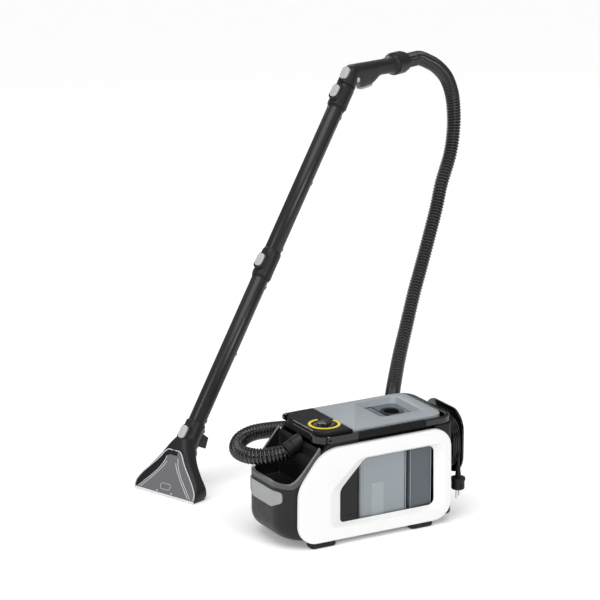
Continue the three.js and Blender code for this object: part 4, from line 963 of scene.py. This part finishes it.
def shaft():
    for name, low, high in (("lower_tube", 178, 600), ("upper_tube", 612, 1046)):
        shape = loft([on("z", circle(r, 64), z) for r, z in
                      [(20.1, low), (TUBE_RADIUS, low + 0.8), (TUBE_RADIUS, high - 0.8), (20.1, high),
                       (18.5, high), (18.5, low)]], closed=True)
        piece(name + "_drawn", shape, WAND_TUBE, "wand", SHAFT, nodes=[name], slot="wand_grey")
    collar("mid_collar", 571, 641, 24, MID_BUTTON)
    collar("handle_collar", 1030, 1088, 24.2, COLLAR_BUTTON)
    button("mid", MID_BUTTON)
    button("collar", COLLAR_BUTTON)
    button("top", TOP_BUTTON, 27.5, 14.5)
    for name, low, high, hooks in (("spray_line_lower", 190, 569, (204, 380, 556)),
                                   ("spray_line_upper", 643, 1028, (657, 836, 1014))):
        pipe = turned([(3.6, low), (4.2, low + 0.6), (4.2, high - 0.6), (3.6, high)], (PIPE_OFFSET, 0, 0),
                      sides=28)
        clips = [turned([(5.4, s - 4), (6.0, s - 3.2), (6.0, s + 3.2), (5.4, s + 4)], (PIPE_OFFSET, 0, 0),
                        sides=28) for s in hooks]
        piece(name + "_pipe", pipe, WANDS, "wand", SHAFT, nodes=[name], slot="wand_grey", joins=clips,
              edge=0.2)
    outline = [(25, 116, 1), (31, 114, 2), (42, 116.5, 2), (38, 128, 2), (31, 134, 2), (34, 143, 2),
               (60, 148, 3), (53, 174, 3), (25, 174, 2)]
    knuckle = turned([(4.6, -8.6), (5.2, -7.6), (5.2, 7.6), (4.6, 8.6)], (28, 0, 179), (0, 1, 0), 28)
    piece("spray_valve_body", prism("y", rounded(outline, 5), -8, 8), WANDS, "wand", SHAFT,
          nodes=["spray_valve_block"], slot="wand_grey", joins=[knuckle], edge=0.4)


GRIP_LOW = [(1088.6, 23.6, 23.4), (1102, 24, 22.5)]
GRIP_BEND = [(690, 886, 0.42, 24, 32, 20), (714, 884, 0.1, 25, 34, 19.5), (735, 883, 0, 25, 33, 19),
             (752, 883, 0, 24, 31, 18.5), (768, 885, 0, 21.5, 25, 18), (783, 887, 0, 19, 19, 17.5),
             (822, 886, 0, 18.5, 18.5, 17.5), (838, 887, 0, 20.5, 20.5, 19)]
GRIP_COLLAR = [(842.5, 25), (845.6, 27), (846.1, 26.4), (846.2, 24.5), (847.6, 24.5), (847.7, 27.2),
               (848.4, 28), (879, 28), (879.8, 27.4), (880.2, 25), (881, 24.5), (890.6, 24.5), (892.2, 23.6),
               (892.6, 22)]
GRIP_BORE = 19.2


def grip():
    def skin(thin):
        rings = [section(*on_axis(s - (3 if thin and s < 1095 else 0)), LEAN, high - thin, high - thin,
                         wide - thin, 2, 48)
                 for s, high, wide in GRIP_LOW]
        for u, z, turn, high, deep, wide in GRIP_BEND:
            rings.append(section(u, z, pi / 2 - turn, high - thin, deep - thin, wide - thin, 3.1, 48))
        skins = smooth_rings(rings, 4)
        collar_line = [(845, GRIP_BORE), (896, GRIP_BORE)] if thin else GRIP_COLLAR
        skins += [section(u, GRIP_HEIGHT, pi / 2, radius, radius, radius, 2, 48)
                  for u, radius in collar_line]
        return loft(skins)

    top_hole = moved(prism("x", rounded(rect(-10.8, 10.8, 1095.2, 1128.8, 9.8, 9.8), 8), -45, -15), IN_WAND)
    slot_cut = block(713, 762, -8.5, 8.5, 838, 868)
    for side, y0, y1 in (("left", -60, -0.12), ("right", 0.12, 60)):
        piece(f"grip_{side}_shell", skin(0), WANDS, "wand", WAND, nodes=[f"grip_shell_{side}"],
              slot="wand_grey", keep=[block(540, 1000, y0, y1, 700, 1000)],
              cuts=[skin(2.8), slot_cut, top_hole], edge=0.5, angle=28)
    lever = plate("y", [(715, 845, 2.5), (740, 846, 8), (760, 848, 3), (760, 866, 3), (752, 866, 3),
                        (746, 855, 3), (715, 852, 2.5)], -7.3, 7.3, 0, 0, 5)
    piece("trigger_pivot_disc",
          turned([(6.2, -1), (6.2, 1.4), (5.6, 2.0)], (688, -19.2, 875), (0, -1, 0), 36), PALE, "wand", WAND,
          slot="button_grey", edge=0.3)
    piece("spray_trigger_lever", lever, PALE, "trigger", WAND, nodes=["spray_trigger"], slot="button_grey",
          edge=0.8)


# ---------- CAD nodes that stay ----------
def kept_nodes():
    shown = {"rear_deck": DARK, "cord_rack_core": BLACK, "cord_gland": RUBBER, "tank_cradle": DARK,
             "tank_collar": BLACK, "motor_can": METAL, "fan_housing": BLACK, "turbine_fan": PALE,
             "spray_pump": BLACK, "switch_box": BLACK, "waste_float": YELLOW, "foot_front_near": RUBBER,
             "foot_front_far": RUBBER, "foot_rear_near": RUBBER, "foot_rear_far": RUBBER}
    for name, material in shown.items():
        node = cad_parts[name]
        node.data.materials.clear()
        node.data.materials.append(material)
        weld = node.modifiers.new("weld", "WELD")
        weld.merge_threshold = 0.00002
        soften(node, 0.8)


stage()
hose()
mains_cord()
side_panel("side_panel_near", 0, 1)
side_panel("side_panel_far", 217, -1)
nose()
deck()
lid()
tanks()
handle()
rear()
hose_ends()
nozzle()
shaft()
grip()
kept_nodes()
